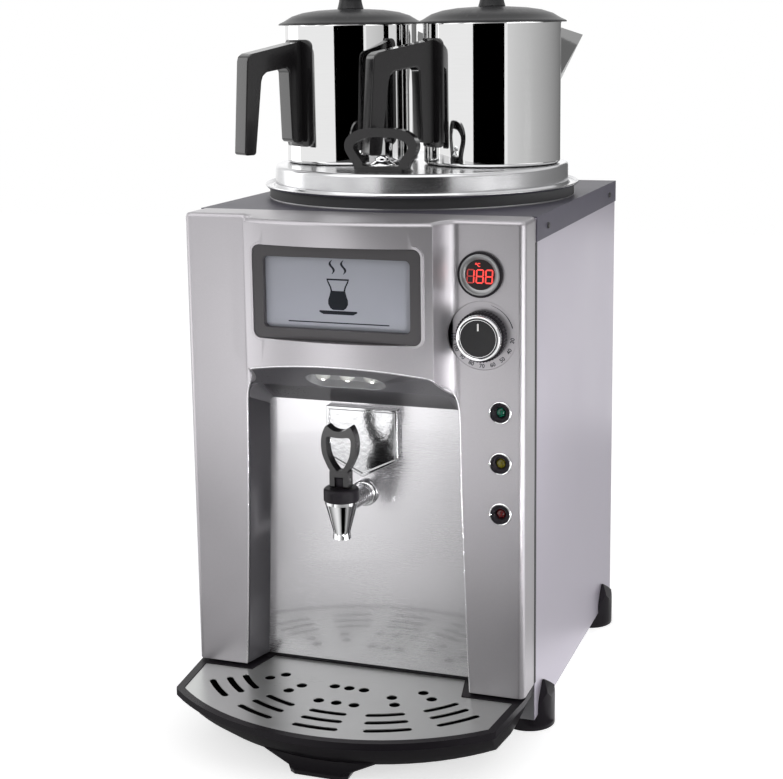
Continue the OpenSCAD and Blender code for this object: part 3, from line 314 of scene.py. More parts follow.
def slab(name, outlines, at, depth):
    """Flat pieces of even depth from closed outlines in mm, as the front shows them."""
    data = new_curve(name, "CURVE", dimensions="2D", fill_mode="BOTH", extrude=depth * MM / 2)
    for outline in outlines:
        add_line(data, [(x * MM, y * MM, 0) for x, y in outline], True)
    piece = baked(linked(name, data))
    piece.data.transform(Matrix.Translation(at * MM) @ UPRIGHT)
    return piece


def tube(name, path, radius):
    """A round bar of a radius in mm along a path of places in mm."""
    data = new_curve(name, "CURVE", dimensions="3D", bevel_depth=radius * MM, bevel_resolution=4,
                     use_fill_caps=True)
    add_line(data, [place * MM for place in path], False)
    return smooth(baked(linked(name, data)), 50)


def lofted(name, rings):
    """A solid through closed rings of places in mm that have equally many points."""
    build = bmesh.new()
    rows = [[build.verts.new(place * MM) for place in ring] for ring in rings]
    for low, high in zip(rows, rows[1:]):
        for i in range(len(low)):
            j = (i + 1) % len(low)
            build.faces.new((low[i], low[j], high[j], high[i]))
    build.faces.new(rows[0][::-1])
    build.faces.new(rows[-1])
    return smooth(solid(name, build))


def written(name, words, size, place, turn):
    """Raised figures of a height in mm that face the front, turned clockwise by an angle."""
    data = new_curve(name, "FONT", body=words, size=size * MM * 1.4, extrude=0.06 * MM, offset=0.12 * MM,
                     align_x="CENTER", align_y="CENTER", resolution_u=3)
    piece = baked(linked(name, data))
    piece.data.transform(Matrix.Translation(place * MM) @ Matrix.Rotation(turn, 4, "Y") @ UPRIGHT)
    return piece


def joined(name, pieces):
    """One piece made of several meshes."""
    build = bmesh.new()
    for piece in pieces:
        build.from_mesh(piece.data)
        bpy.data.objects.remove(piece)
    return meshed(name, build)


def arc_points(x, y, radius, turns):
    return [(x + radius * math.cos(turn), y + radius * math.sin(turn)) for turn in turns]


# ---- Finishes ------------------------------------------------------------------

def set_inputs(node, **values):
    """Sets a shader node's inputs by their names, in which _ is a space."""
    for name, value in values.items():
        node.inputs[name.replace("_", " ")].default_value = value
    return node


def added(tree, kind, **values):
    """A new shader node with some of its inputs set."""
    return set_inputs(tree.nodes.new(f"ShaderNode{kind}"), **values)


def maths(tree, operation, first, second):
    """What a sum or the like of two outputs gives."""
    node = added(tree, "Math")
    node.operation = operation
    tree.links.new(first, node.inputs[0])
    tree.links.new(second, node.inputs[1])
    return node.outputs[0]


def new_material(name):
    """A material with its node tree and its main shader."""
    material = bpy.data.materials.new(name)
    material.use_nodes = True
    return material, material.node_tree, material.node_tree.nodes["Principled BSDF"]


# Where most of the two noises' sum lies
NOISE = {"From_Min": 0.6, "From_Max": 1.4}


def finish(name, rgb, metallic, roughness, grain, relief, uneven, shade, specular=0.5, depth=0.1,
           coat=0.0):
    """A surface with a fine grain, uneven gloss and uneven shade.

    The grain is in cycles per metre, evenly or along x, y and z; the relief's depth is in mm."""
    material, tree, shader = new_material(name)
    link = tree.links.new
    set_inputs(shader, Metallic=metallic, Specular_IOR_Level=specular)
    if coat > 0:
        set_inputs(shader, Coat_Weight=coat, Coat_Roughness=0.05, Coat_IOR=1.9)
    place = added(tree, "TexCoord").outputs["Object"]
    stretch = added(tree, "Mapping", Scale=grain if isinstance(grain, tuple) else (grain, grain, grain))
    fine = added(tree, "TexNoise", Scale=1.0, Detail=4.0)
    broad = added(tree, "TexNoise", Scale=11.0, Detail=2.0)
    link(place, stretch.inputs["Vector"])
    link(stretch.outputs["Vector"], fine.inputs["Vector"])
    link(place, broad.inputs["Vector"])
    both = maths(tree, "ADD", fine.outputs["Fac"], broad.outputs["Fac"])

    gloss = added(tree, "MapRange", To_Min=max(roughness - uneven / 2, 0.0), To_Max=roughness + uneven / 2,
                  **NOISE)
    spread = added(tree, "MapRange", **NOISE)
    tone = added(tree, "Mix")
    tone.data_type = "RGBA"
    for end, level in (("A", 1 - shade), ("B", 1 + shade)):
        tone.inputs[end].default_value = (*[min(channel * level, 1) for channel in rgb], 1)
    for ramp, target in ((gloss, shader.inputs["Roughness"]), (spread, tone.inputs["Factor"])):
        link(both, ramp.inputs["Value"])
        link(ramp.outputs["Result"], target)
    link(tone.outputs["Result"], shader.inputs["Base Color"])

    if relief > 0:
        bump = added(tree, "Bump", Strength=relief, Distance=depth * MM)
        link(fine.outputs["Fac"], bump.inputs["Height"])
        link(bump.outputs["Normal"], shader.inputs["Normal"])
    return material


def make_finishes():
    """One finish for each of the record's slots."""
    tints = bpy.context.scene.urn_colours
    # Colour, metallic, roughness, grain, relief, uneven gloss, uneven shade, then specular, depth, coat
    table = {
        "silver_side": (tints.side, 0.55, 0.34, 900, 0.05, 0.08, 0.03),
        "slate_cover": (tints.cover, 0.15, 0.42, 1400, 0.08, 0.08, 0.06, 0.15),
        "silver_front": (tints.front, 0.72, 0.33, 1100, 0.08, 0.10, 0.05),
        "bay_grey": (tints.liner, 0.1, 0.30, 700, 0.04, 0.08, 0.06, 0.4),
        "brushed_plate": ((0.54, 0.53, 0.55), 0.95, 0.26, (60, 60, 2600), 0.03, 0.06, 0.03, 0.5, 0.1, 0.8),
        "tap_chrome": (tints.chrome, 1.0, 0.05, 60, 0.0, 0.03, 0.01),
        "pot_steel": ((0.80, 0.80, 0.80), 1.0, 0.035, (40, 40, 900), 0.01, 0.02, 0.015),
        "lid_steel": (tints.steel, 1.0, 0.2, (30, 30, 2600), 0.06, 0.08, 0.05),
        "grille_steel": ((0.56, 0.57, 0.56), 0.82, 0.32, (60, 2600, 60), 0.08, 0.10, 0.05),
        "frame_steel": ((0.50, 0.50, 0.52), 0.9, 0.42, (60, 60, 900), 0.06, 0.10, 0.06),
        "tank_steel": ((0.58, 0.58, 0.58), 1.0, 0.30, (40, 40, 1600), 0.06, 0.10, 0.06),
        "black_plastic": (tints.black, 0.0, 0.30, 1100, 0.10, 0.10, 0.20, 0.12),
        "grip_grey": (tints.grip, 0.0, 0.14, 1500, 0.02, 0.04, 0.04),
        "frame_brown": (tints.window, 0.0, 0.34, 1400, 0.06, 0.08, 0.08, 0.35),
        "sign_panel": (tints.sign, 0.0, 0.30, 30, 0.0, 0.05, 0.03, 0.3),
        "lamp_white": ((0.5, 0.5, 0.48), 0.0, 0.16, 200, 0.02, 0.06, 0.03),
        "display_red": ((0.012, 0.004, 0.005), 0.0, 0.12, 100, 0.0, 0.04, 0.10, 0.25),
        "lens_green": ((0.002, 0.06, 0.035), 0.0, 0.08, 300, 0.02, 0.05, 0.10),
        "lens_amber": ((0.075, 0.065, 0.004), 0.0, 0.08, 300, 0.02, 0.05, 0.10),
        "lens_red": ((0.06, 0.003, 0.004), 0.0, 0.08, 300, 0.02, 0.05, 0.10),
        "seal_rubber": ((0.03, 0.03, 0.032), 0.0, 0.62, 900, 0.15, 0.10, 0.10),
        "wool": ((0.66, 0.58, 0.34), 0.0, 0.95, 500, 0.6, 0.04, 0.16, 0.5, 0.8),
        "board_green": ((0.02, 0.13, 0.05), 0.0, 0.36, 500, 0.05, 0.10, 0.12),
        "shank_brass": ((0.62, 0.45, 0.20), 1.0, 0.28, (900, 60, 900), 0.08, 0.10, 0.05),
        "cup_silicone": ((0.66, 0.65, 0.60), 0.0, 0.48, 500, 0.05, 0.08, 0.04),
    }
    return {slot: finish(slot, *values) for slot, values in table.items()}


FINISHES = {}


def finish_of(slot):
    if not FINISHES:
        FINISHES.update(make_finishes())
    return FINISHES[slot]


def glowing(name, rgb, level):
    """A surface that gives off light, a little uneven across its face; on the display's unlit segments this
    is painted light.
    """
    material = finish(name, rgb, 0.0, 0.3, 200, 0.0, 0.05, 0.05)
    shader = material.node_tree.nodes["Principled BSDF"]
    set_inputs(shader, Emission_Color=(*rgb, 1), Emission_Strength=level)
    return material


def wear(piece, material):
    piece.data.materials.clear()
    piece.data.materials.append(material)
    return piece


def stands_for(piece, node, *more):
    """A finished piece that rides with a CAD node, wears its slot's finish and stands for it."""
    wear(piece, finish_of(SLOTS[node]))
    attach(piece, NODES[node]["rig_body"])
    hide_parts(node, *more)
    return piece


def eased(node, width, segments=2):
    """A CAD node with all its edges eased by a width in mm."""
    return stands_for(eased_copy(node, [(width, None)], segments), node)


def adds(piece, body, slot, material=None):
    """A further piece on a body, with its own finish."""
    wear(piece, material or finish_of(slot))
    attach(piece, body)
    return piece


def kept(*names):
    """CAD nodes whose own shape is shown, in their slot's finish."""
    for node in names:
        wear(NODES[node], finish_of(SLOTS[node]))


# ---- Shapes of the front -------------------------------------------------------

# The CAD's own measures in mm, from the case's middle, front edge and bottom edge
BOW_HALF = 98.0  # Half the bowed panel's width
BOW_EDGE = 75.0  # How far its sides reach ahead of the case
BOW_CROWN = 15.0  # How much further its middle does
FLANK_X = 115.0  # Where the flanks beside it meet the columns
FACE_D = 43.0  # How far the columns reach ahead
FRONT_BOTTOM = 40.6
HOOD_LOW = 325.0  # The hood's height at the back plate, and its slope
HOOD_SLOPE = math.radians(33.2)
PLATE_GAP = 6.0  # From the back plate to the case's front edge
BAY_TOP = 114.0  # Half the mouth's width under the hood
BAY_FLARE = 9.5  # How much wider each side is at the bottom
FLARE_EVEN = 0.36  # Share of the flare that grows evenly with depth below the hood
BAY_TAPER = 9.0  # How far each side closes in towards the back plate
HOOD_FRONT = HOOD_LOW + (FACE_D - PLATE_GAP) * math.tan(HOOD_SLOPE)


def front_y(x):
    """How far the front reaches ahead of the case at a place across it."""
    across = abs(x)
    radius = (BOW_HALF ** 2 + BOW_CROWN ** 2) / (2 * BOW_CROWN)
    if across <= BOW_HALF:
        return -(BOW_EDGE + BOW_CROWN - radius + math.sqrt(radius ** 2 - across ** 2))
    if across <= FLANK_X:
        share = (FLANK_X - across) / (FLANK_X - BOW_HALF)
        return -BOW_EDGE + (BOW_EDGE - FACE_D) * math.sqrt(1 - share ** 2)
    return -FACE_D


def bay_half(z):
    """Half the width of the bay's mouth at a height."""
    share = (HOOD_FRONT - z) / (HOOD_FRONT - FRONT_BOTTOM)
    return BAY_TOP + BAY_FLARE * (FLARE_EVEN * share + (1 - FLARE_EVEN) * share * share)


def hood_z(y):
    return HOOD_LOW + (-y - PLATE_GAP) * math.tan(HOOD_SLOPE)


def mouth_top(x):
    """Height of the mouth's upper edge at a place across it."""
    return hood_z(front_y(x))


# ---- Stage ---------------------------------------------------------------------

CAMERA_PLACE = (0.54721, -1.57048, 0.71556)
CAMERA_YAW, CAMERA_PITCH, CAMERA_ROLL = (math.radians(turn) for turn in (19.4914, 10.0351, -0.7481))
CAMERA_SHIFT = -79.5 / 783
FLOOR_GLOW = 0.62
ON_FLOOR = (0.004, 0.004)

# Azimuths in degrees, heights, reach from the middle (two where it lies flat), levels side to side
SCREENS = {
    "pot_stripe_screen": ((-12, 41), (0.40, 0.98), 1.25, (0.0, 0.0)),
    "front_screen": ((-80, 46), (0.02, 0.40), 1.25, (
        2.8, 2.8, 2.8, 2.5, 1.6, 0.2, 2.5, 2.9, 1.0, 0.8, 0.45, 0.25, 0.2, 0.15, 0.15)),
    "flank_screen": ((46, 112), (0.02, 0.40), 1.25, (4.5, 3.0, 0.8)),
    "handle_screen": ((-112, -84), (0.42, 1.1), 1.25, (2.4, 2.4)),
    "beak_screen": ((108, 150), (0.0, 0.38), 1.25, (0.12, 0.2)),
    "pot_screen": ((46, 176), (0.38, 0.98), 1.25, (0.75, 0.14)),
    "back_screen": ((180, 226), (0.46, 0.95), 1.3, (1.3, 1.3)),
    "top_screen": ((-70, 60), (1.35, 1.35), (0.15, 0.95), (2.4, 2.4)),
    "tap_floor_screen": ((-70, 70), ON_FLOOR, (0.31, 0.60), (
        0.1, 0.2, 0.3, 0.5, 0.7, 0.9, 0.9, 0.6, 0.0, 0.0, 0.0, 0.5, 0.3, 0.1, 0.1)),
    "floor_screen": ((-62, 62), ON_FLOOR, (0.60, 1.24), (
        1.2, 1.2, 0.7, 0.1, 1.5, 0.8, 0.5, 0.4, 0.35, 0.35, 0.4, 0.5, 0.5)),
    "tray_floor_screen": ((-70, 70), ON_FLOOR, (0.20, 0.31), (0.10, 0.10)),
    "side_floor_screen": ((100, 176), ON_FLOOR, (0.27, 1.24), (0.6, 0.6)),
}


class UrnOperator:
    bl_options = {"REGISTER", "UNDO"}

    def execute(self, context):
        self.build(context)
        return {"FINISHED"}


class URN_OT_stage(UrnOperator, bpy.types.Operator):
    """Set the floor, the surround, the lamps and the camera"""

    bl_idname = "urn.stage"
    bl_label = "Stage"

    def build(self, context):
        studio = context.scene.urn_studio
        self.floor()
        self.surround(studio.sky)
        for name, values in SCREENS.items():
            self.screen(name, *values)
        self.lamp("key", (-1.75, -1.75, 1.65), (0, 0, 0.40), (1.5, 1.5), studio.key)
        self.lamp("strip", (1.45, -0.25, 0.34), (0.12, -0.05, 0.30), (0.35, 0.62), studio.fill)
        self.lamp("front", (0.80, -0.98, 0.06), (-0.01, -0.06, 0.35), (0.3, 0.16), studio.spot, 16)
        self.camera(studio.lens)
        context.scene.view_settings.view_transform = "Standard"

    @staticmethod
    def ray_level(tree, own, backdrop):
        """One level for the light's own rays, another for those that show the backdrop."""
        path = added(tree, "LightPath").outputs
        shown = maths(tree, "MAXIMUM", path["Is Camera Ray"], path["Is Glossy Ray"])
        shown = maths(tree, "MAXIMUM", shown, path["Is Transmission Ray"])
        level = added(tree, "MapRange", To_Min=own, To_Max=backdrop)
        tree.links.new(shown, level.inputs["Value"])
        return level.outputs["Result"]

    def floor(self):
        build = bmesh.new()
        bmesh.ops.create_grid(build, x_segments=24, y_segments=24, size=4.0)
        floor = solid("studio_floor", build)
        material, tree, shader = new_material("studio_floor")
        set_inputs(shader, Base_Color=(0.86, 0.86, 0.86, 1), Roughness=0.9, Specular_IOR_Level=0.0,
                   Emission_Color=(1, 1, 1, 1))
        tree.links.new(self.ray_level(tree, 0.0, FLOOR_GLOW), shader.inputs["Emission Strength"])
        wear(floor, material)

    def surround(self, sky):
        world = bpy.data.worlds.new("studio")
        bpy.context.scene.world = world
        world.use_nodes = True
        tree = world.node_tree
        ground = set_inputs(tree.nodes["Background"], Color=(1, 1, 1, 1))
        tree.links.new(self.ray_level(tree, sky, 1.0), ground.inputs["Strength"])

    @staticmethod
    def screen(name, turns, heights, reach, levels):
        """A screen that only reflections see; its levels are spread evenly from side to side.

        It stands at one reach from the middle, or lies flat between two."""
        count = 24
        build = bmesh.new()
        rows = []
        reaches = reach if isinstance(reach, tuple) else (reach, reach)
        for height, far in zip(heights, reaches):
            row = []
            for i in range(count + 1):
                turn = math.radians(turns[0] + (turns[1] - turns[0]) * i / count)
                row.append(build.verts.new((far * math.sin(turn), -far * math.cos(turn), height)))
            rows.append(row)
        for i in range(count):
            build.faces.new((rows[0][i], rows[0][i + 1], rows[1][i + 1], rows[1][i]))
        screen = solid(name, build)
        values = []
        for share in shares(count):
            spot = share * (len(levels) - 1)
            step = min(int(spot), len(levels) - 2)
            values.append(levels[step] + (levels[step + 1] - levels[step]) * (spot - step))
        screen.data.attributes.new("level", "FLOAT", "POINT").data.foreach_set("value", values * 2)
        material, tree, shader = new_material(name)
        tree.nodes.remove(shader)
        level = added(tree, "Attribute")
        level.attribute_name = "level"
        glow = added(tree, "Emission")
        tree.links.new(level.outputs["Fac"], glow.inputs["Strength"])
        tree.links.new(glow.outputs[0], tree.nodes["Material Output"].inputs["Surface"])
        wear(screen, material)
        for rays in ("camera", "diffuse", "shadow", "transmission"):
            setattr(screen, f"visible_{rays}", False)

    @staticmethod
    def lamp(name, place, aim, size, power, spread=180):
        """An area lamp; its spread in degrees keeps the light within a beam."""
        data = bpy.data.lights.new(f"{name}_lamp", "AREA")
        data.shape = "RECTANGLE"
        data.size, data.size_y = size
        data.energy = power
        data.spread = math.radians(spread)
        lamp = linked(data.name, data)
        lamp.location = place
        lamp.rotation_euler = (Vector(aim) - Vector(place)).to_track_quat("-Z", "Y").to_euler()
        lamp.visible_camera = False

    @staticmethod
    def camera(lens):
        level = math.cos(CAMERA_PITCH)
        ahead = Vector((
            -math.sin(CAMERA_YAW) * level, math.cos(CAMERA_YAW) * level, -math.sin(CAMERA_PITCH)))
        across = Vector((math.cos(CAMERA_YAW), math.sin(CAMERA_YAW), 0))
        above = across.cross(ahead)
        side = across * math.cos(CAMERA_ROLL) + above * math.sin(CAMERA_ROLL)
        top = above * math.cos(CAMERA_ROLL) - across * math.sin(CAMERA_ROLL)
        data = bpy.data.cameras.new("camera")
        data.lens = lens
        data.sensor_width = 36.0
        data.shift_y = CAMERA_SHIFT
        data.clip_start = 0.05
        camera = linked("camera", data)
        turn = Matrix((side, top, -ahead)).transposed().to_4x4()
        camera.matrix_world = Matrix.Translation(CAMERA_PLACE) @ turn
        bpy.context.scene.camera = camera


# ---- Pieces --------------------------------------------------------------------

class URN_OT_case(UrnOperator, bpy.types.Operator):
    """Finish the case: side panels, cover, rear panel, screws, feet and gland"""

    bl_idname = "urn.case"
    bl_label = "Case"

    def build(self, context):
        for node in ("left_side_panel", "right_side_panel", "rear_panel", "top_cover"):
            eased(node, chosen("sheet_ease"))
        eased("corner_feet", chosen("foot_ease"))
        eased("cable_gland", 0.6)
        kept("chassis_base", "chassis_front")
        black = finish("screw_black", (0.008, 0.008, 0.009), 0.0, 0.40, 900, 0.05, 0.08, 0.10)
        wear(eased("cover_screws", 0.3), black)


class URN_OT_front(UrnOperator, bpy.types.Operator):
    """Finish the silver front moulding and the bead round the bay's mouth"""

    bl_idname = "urn.front"
    bl_label = "Front"

    def build(self, context):
        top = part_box("front_fascia")[1].z

        def on_top(edge):
            return all(vert.co.z > top - 1e-5 for vert in edge.verts) and any(
                abs(face.normal.z) < 0.3 and face.normal.y < 0.2 for face in edge.link_faces)

        def elsewhere(edge):
            return min(vert.co.z for vert in edge.verts) < top - 5e-3

        rules = [(chosen("front_round"), on_top), (chosen("front_ease"), elsewhere)]
        stands_for(eased_copy("front_fascia", rules, 3), "front_fascia")
        cut = chosen("corner_cut")
        for word, side in (("left", -1), ("right", 1)):
            adds(self.corner(f"{word}_bay_corner", side, cut), "casing", "silver_front")
            adds(self.liner_corner(f"{word}_liner_corner", side, 0.8 * cut), "casing", "bay_grey")
            # A dark strip in the gap beside each side panel: painted shade where the gap lies in shadow
            adds(self.seam(f"{word}_front_gap_shade", side), "casing", "seal_rubber")
        # The bead's silver is lighter than the front's: a painted highlight on the mouth's rounded edge
        silver = finish("bead_highlight_silver", (0.72, 0.71, 0.73), 0.9, 0.22, 900, 0.03, 0.06, 0.03)
        adds(self.bead(chosen("bead_r"), cut), "casing", "silver_front", silver)

    @staticmethod
    def mouth_corner(cut):
        """The rounded corner of the bay's mouth, right side, from its side up to the hood's edge."""
        top = mouth_top(BAY_TOP)
        start = Vector((bay_half(top - cut), top - cut))
        across = BOW_HALF + 1.5
        end = Vector((across, mouth_top(across)))
        bend = Vector((BAY_TOP - 1.0, top + 3.5))
        return [start * (1 - t) ** 2 + bend * 2 * t * (1 - t) + end * t * t for t in shares(10)]

    def corner(self, name, side, cut):
        """A silver web that rounds an upper corner of the mouth."""
        lap, proud, deep = 0.8, 0.04, 5.0
        arc = self.mouth_corner(cut)
        top = mouth_top(BAY_TOP)
        count = len(arc) - 1
        outer = []
        for share in shares(count):
            t = 2 * share
            if t <= 1:
                z = arc[0].y + (top - arc[0].y) * t
                outer.append(Vector((bay_half(z) + lap, z)))
            else:
                x = BAY_TOP + (arc[-1].x - BAY_TOP) * (t - 1)
                outer.append(Vector((x, mouth_top(x) + lap)))
        build = bmesh.new()
        rows = []
        for line in (arc, outer):
            for back in (0.0, deep):
                rows.append([
                    build.verts.new(at_case(side * spot.x, front_y(spot.x) - proud + back, spot.y) * MM)
                    for spot in line])
        near, near_back, far, far_back = rows
        for one, two in ((near, far), (near_back, near), (far, far_back), (far_back, near_back)):
            for i in range(count):
                build.faces.new((one[i], one[i + 1], two[i + 1], two[i]))
        for i in (0, count):
            build.faces.new((near[i], far[i], far_back[i], near_back[i]))
        return smooth(solid(name, build), 40)

    @staticmethod
    def liner_corner(name, side, cut):
        """A grey web along the corner between the bay's hood and its side."""
        start, lap = 3.0 - FACE_D, 0.6
        rings = []
        for share in shares(6):
            y = start - (start + PLATE_GAP) * share
            size = cut * (1 - 0.55 * share)
            top = hood_z(y)
            reach = bay_half(top) - BAY_TAPER * (y + FACE_D) / (FACE_D - PLATE_GAP)
            ring = [(reach - size * t * t, top - size * (1 - t) ** 2) for t in shares(8)]
            ring.append((reach + lap, top + lap))
            rings.append([at_case(side * x, y, z) for x, z in ring])
        return lofted(name, rings)

    @staticmethod
    def seam(name, side):
        """Painted shade: a dark strip that stands for the shadow in the gap between the front and a side
        panel.
        """
        outline = [(179.2, -2.8), (180.2, -2.8), (180.5, -2.2), (180.5, 3.0), (180.2, 3.6), (179.2, 3.6)]
        heights = (FRONT_BOTTOM + 0.6, 200.0, 350.0, 497.0)
        return lofted(name, [[at_case(side * x, y, z) for x, y in outline] for z in heights])

    def bead(self, radius, cut):
        """The polished bead round the mouth. Its silver is lighter than the front's, which is a painted
        highlight along the edge.
        """
        arc = self.mouth_corner(cut)
        low = FRONT_BOTTOM + 0.9
        heights = [low + (arc[0].y - low) * share for share in shares(25)[:-1]]
        over = [arc[-1].x - 1.5 * share for share in shares(3)[1:]]
        over += [BOW_HALF * (1 - share) for share in shares(24)[1:]]
        half = [Vector((bay_half(z), z)) for z in heights] + arc
        half += [Vector((x, mouth_top(x))) for x in over]
        path = [at_case(spot.x, front_y(spot.x), spot.y) for spot in half]
        path += [at_case(-spot.x, front_y(spot.x), spot.y) for spot in half[-2::-1]]
        for _ in range(2):
            path[1:-1] = [(path[i - 1] + path[i] * 2 + path[i + 1]) / 4 for i in range(1, len(path) - 1)]
        return tube("bay_bead", path, radius)


class URN_OT_sign(UrnOperator, bpy.types.Operator):
    """Finish the sign's window frame and sheet, with a plain tea glass on it"""

    bl_idname = "urn.sign"
    bl_label = "Sign window"

    def build(self, context):
        eased("window_frame", 0.9, 3)
        kept("sign_panel", "sign_backlight")
        height = chosen("glass_h")
        picture = self.tea_glass(height) + [self.curl(height, -0.13), self.curl(height, 0.13)]
        low, high = mm_box("sign_panel")
        place = Vector((0, low.y - 0.05, (low.z + high.z) / 2 + 0.6))
        ink = finish("sign_print", context.scene.urn_colours.print, 0.0, 0.6, 900, 0.02, 0.06, 0.10, 0.05)
        adds(slab("sign_picture", picture, place, 0.12), "casing", "sign_panel", ink)

    @staticmethod
    def tea_glass(height):
        """Outlines of a waisted tea glass on its saucer: the glass, its empty top, the saucer, a rule."""
        sides = [(0.26, 0.30), (0.235, 0.22), (0.185, 0.12), (0.165, 0.04), (0.19, -0.06), (0.225, -0.16),
                 (0.225, -0.25), (0.18, -0.33), (0.12, -0.37)]
        wall = 0.035

        def both(points):
            """Both sides of an outline given in shares of the height."""
            right = [(x * height, z * height) for x, z in points]
            return right + [(-x, z) for x, z in reversed(right)]

        empty = [(x - wall, z) for x, z in sides[:4]]
        empty[0] = (empty[0][0], empty[0][1] - wall)
        saucer = rounded(both([(0.5, -0.39), (0.34, -0.47)]), 1.2)
        rule = rounded(both([(1.15, -0.64), (1.15, -0.665)]), 0.2)
        return [rounded(both(sides), 0.5), both(empty), saucer, rule]

    @staticmethod
    def curl(height, across):
        """A tapered wisp of steam above the glass."""
        left, right = [], []
        for t in shares(24):
            x = (across + 0.045 * math.sin(2 * math.pi * t)) * height
            z = (0.40 + 0.30 * t) * height
            wide = 0.03 * math.sin(math.pi * (0.08 + 0.84 * t)) * height
            left.append((x - wide, z))
            right.append((x + wide, z))
        return left + right[::-1]


class URN_OT_controls(UrnOperator, bpy.types.Operator):
    """Finish the display, the thermostat knob with its dial, and the indicator lamps"""

    bl_idname = "urn.controls"
    bl_label = "Controls"

    def build(self, context):
        self.display(context)
        self.knob()
        self.dial(context)
        self.indicators()

    def display(self, context):
        """Bezel with its inner ring, dark lens, lit segments, unlit segments with a faint painted glow, and
        the degree sign.
        """
        digits = tuple(context.scene.urn_colours.digits)
        eased("display_bezel", 0.9, 3)
        kept("display_lens")
        centre = faced("display_lens", mm_box("display_lens")[0].y)
        profile = [(15.0, 0.12), (15.4, 0.5), (17.2, 1.3), (18.6, 1.72), (19.8, 1.72), (20.2, 1.45),
                   (17.6, 1.4), (17.3, 0.3), (15.0, 0.02)]
        grey = finish("display_ring_grey", (0.30, 0.30, 0.305), 0.8, 0.34, 300, 0.03, 0.04, 0.02)
        adds(turned("display_ring", profile, centre), "casing", "black_plastic", grey)
        height = chosen("digit_h")
        wide, pitch, bar = 0.56 * height, 0.66 * height, 0.09 * height
        slant, drop = 0.06, 1.6
        lit, unlit = [], []
        for place, shown in ((-1, "bc"), (0, "abcdefg"), (1, "abcdefg")):
            for letter, outline in self.segments(wide, height, bar).items():
                moved = [(x + place * pitch + slant * z, z - drop) for x, z in outline]
                (lit if letter in shown else unlit).append(moved)
        round_turns = [2 * math.pi * share for share in shares(20)[:-1]]
        lit += [arc_points(-3.6, 10.6, radius, round_turns) for radius in (1.05, 0.5)]
        c_turns = [math.radians(50 + 260 * share) for share in shares(16)]
        lit.append(arc_points(-0.6, 9.6, 1.9, c_turns) + arc_points(-0.6, 9.6, 0.6 * 1.9, c_turns[::-1]))
        glow = centre - Vector((0, 0.08, 0))
        adds(slab("display_digits", lit, glow, 0.12), "casing", "display_red",
             glowing("digit_glow", digits, 1.1))
        # The unlit segments glow faintly though they are off: painted light
        adds(slab("display_unlit", unlit, glow, 0.12), "casing", "display_red",
             glowing("unlit_digit_painted_glow", tuple(0.5 * part for part in digits), 0.22))

    @staticmethod
    def segments(wide, height, bar):
        """Outlines of a digit's seven bars."""
        half, gap = bar / 2, 0.12 * bar

        def level(z, low, high):
            """A bar with pointed ends at a height, from one place across to another."""
            low, high = low + gap, high - gap
            return [(low, z), (low + half, z + half), (high - half, z + half), (high, z),
                    (high - half, z - half), (low + half, z - half)]

        def upright(x, low, high):
            return [(x, z) for z, x in level(x, low, high)]

        top, side = height / 2 - half, wide / 2 - half
        return {"a": level(top, -side, side), "g": level(0, -side, side), "d": level(-top, -side, side),
                "f": upright(-side, 0, top), "b": upright(side, 0, top),
                "e": upright(-side, -top, 0), "c": upright(side, -top, 0)}

    @staticmethod
    def knob():
        """Ribbed skirt, turned ring, cap with its fine circle, and the pointer."""
        centre = faced("knob_skirt", mm_box("knob_skirt")[1].y)
        skirt = [(4, 0), (24.2, 0), (25, 0.8), (25, 9.2), (24.4, 9.9), (19, 10), (18.9, 14.9), (4, 14.9)]
        stands_for(turned("knob_skirt_ribbed", skirt, centre, ribs=(48, 0.55, 24.3)), "knob_skirt")
        ring = [(19.52, 9.4), (22.9, 9.4), (23, 10.2), (22.5, 12.2), (21.9, 12.4), (21.9, 13.2),
                (22.3, 13.5), (22.0, 16.4), (21.5, 17), (20.2, 17), (19.52, 16.2)]
        stands_for(turned("knob_ring_turned", ring, centre), "knob_ring")
        cap = [(0, 14.9), (19.48, 14.9), (19.48, 16.1), (19.1, 16.35), (17.6, 16.3), (15.5, 16.1),
               (0, 15.95)]
        black = finish("cap_black", (0.016, 0.016, 0.017), 0.0, 0.42, 1800, 0.10, 0.10, 0.20, 0.3)
        wear(stands_for(turned("knob_cap_dished", cap, centre), "knob_cap"), black)
        fine = [(18.0, 16.25), (18.45, 16.25), (18.45, 16.42), (18.0, 16.42)]
        adds(turned("knob_circle", fine, centre), "knob", "tap_chrome")
        half = chosen("pointer_w") / 2
        mark = rounded([(-half, 7.4), (half, 7.4), (half, 14.6), (-half, 14.6)], 0.5)
        white = finish("pointer_white", (0.82, 0.82, 0.80), 0.0, 0.45, 900, 0.03, 0.06, 0.03)
        place = centre - Vector((0, 16.2, 0))
        adds(slab("knob_pointer", [mark], place, 0.3), "knob", "lamp_white", white)

    @staticmethod
    def dial(context):
        """Numbers round the knob and the swelling line that leads to the first of them."""
        number_r, first_turn, last_turn = 30.2, 97, 266
        line_r, line_start, line_sweep = 31.2, 16, 58
        # The print lies on the flat round the knob, which is a little behind the columns' face
        centre = faced("knob_skirt", CASE_FRONT - FACE_D + 0.41)
        figures = []
        for i, share in enumerate(shares(8)):
            turn = math.radians(first_turn + (last_turn - first_turn) * share)
            place = centre + Vector((number_r * math.sin(turn), 0, number_r * math.cos(turn)))
            words = str(30 + 10 * i)
            figures.append(written(f"figure_{i}", words, chosen("number_h"), place, turn + math.pi))
        ink = finish("dial_print", context.scene.urn_colours.print, 0.0, 0.5, 900, 0.02, 0.06, 0.10)
        adds(joined("dial_numbers", figures), "casing", "silver_front", ink)
        outer, inner = [], []
        for share in shares(24):
            turn = math.radians(line_start + line_sweep * share)
            half = 0.12 + 0.42 * share
            outer.append(((line_r + half) * math.sin(turn), (line_r + half) * math.cos(turn)))
            inner.append(((line_r - half) * math.sin(turn), (line_r - half) * math.cos(turn)))
        adds(slab("dial_line", [outer + inner[::-1]], centre, 0.12), "casing", "silver_front", ink)

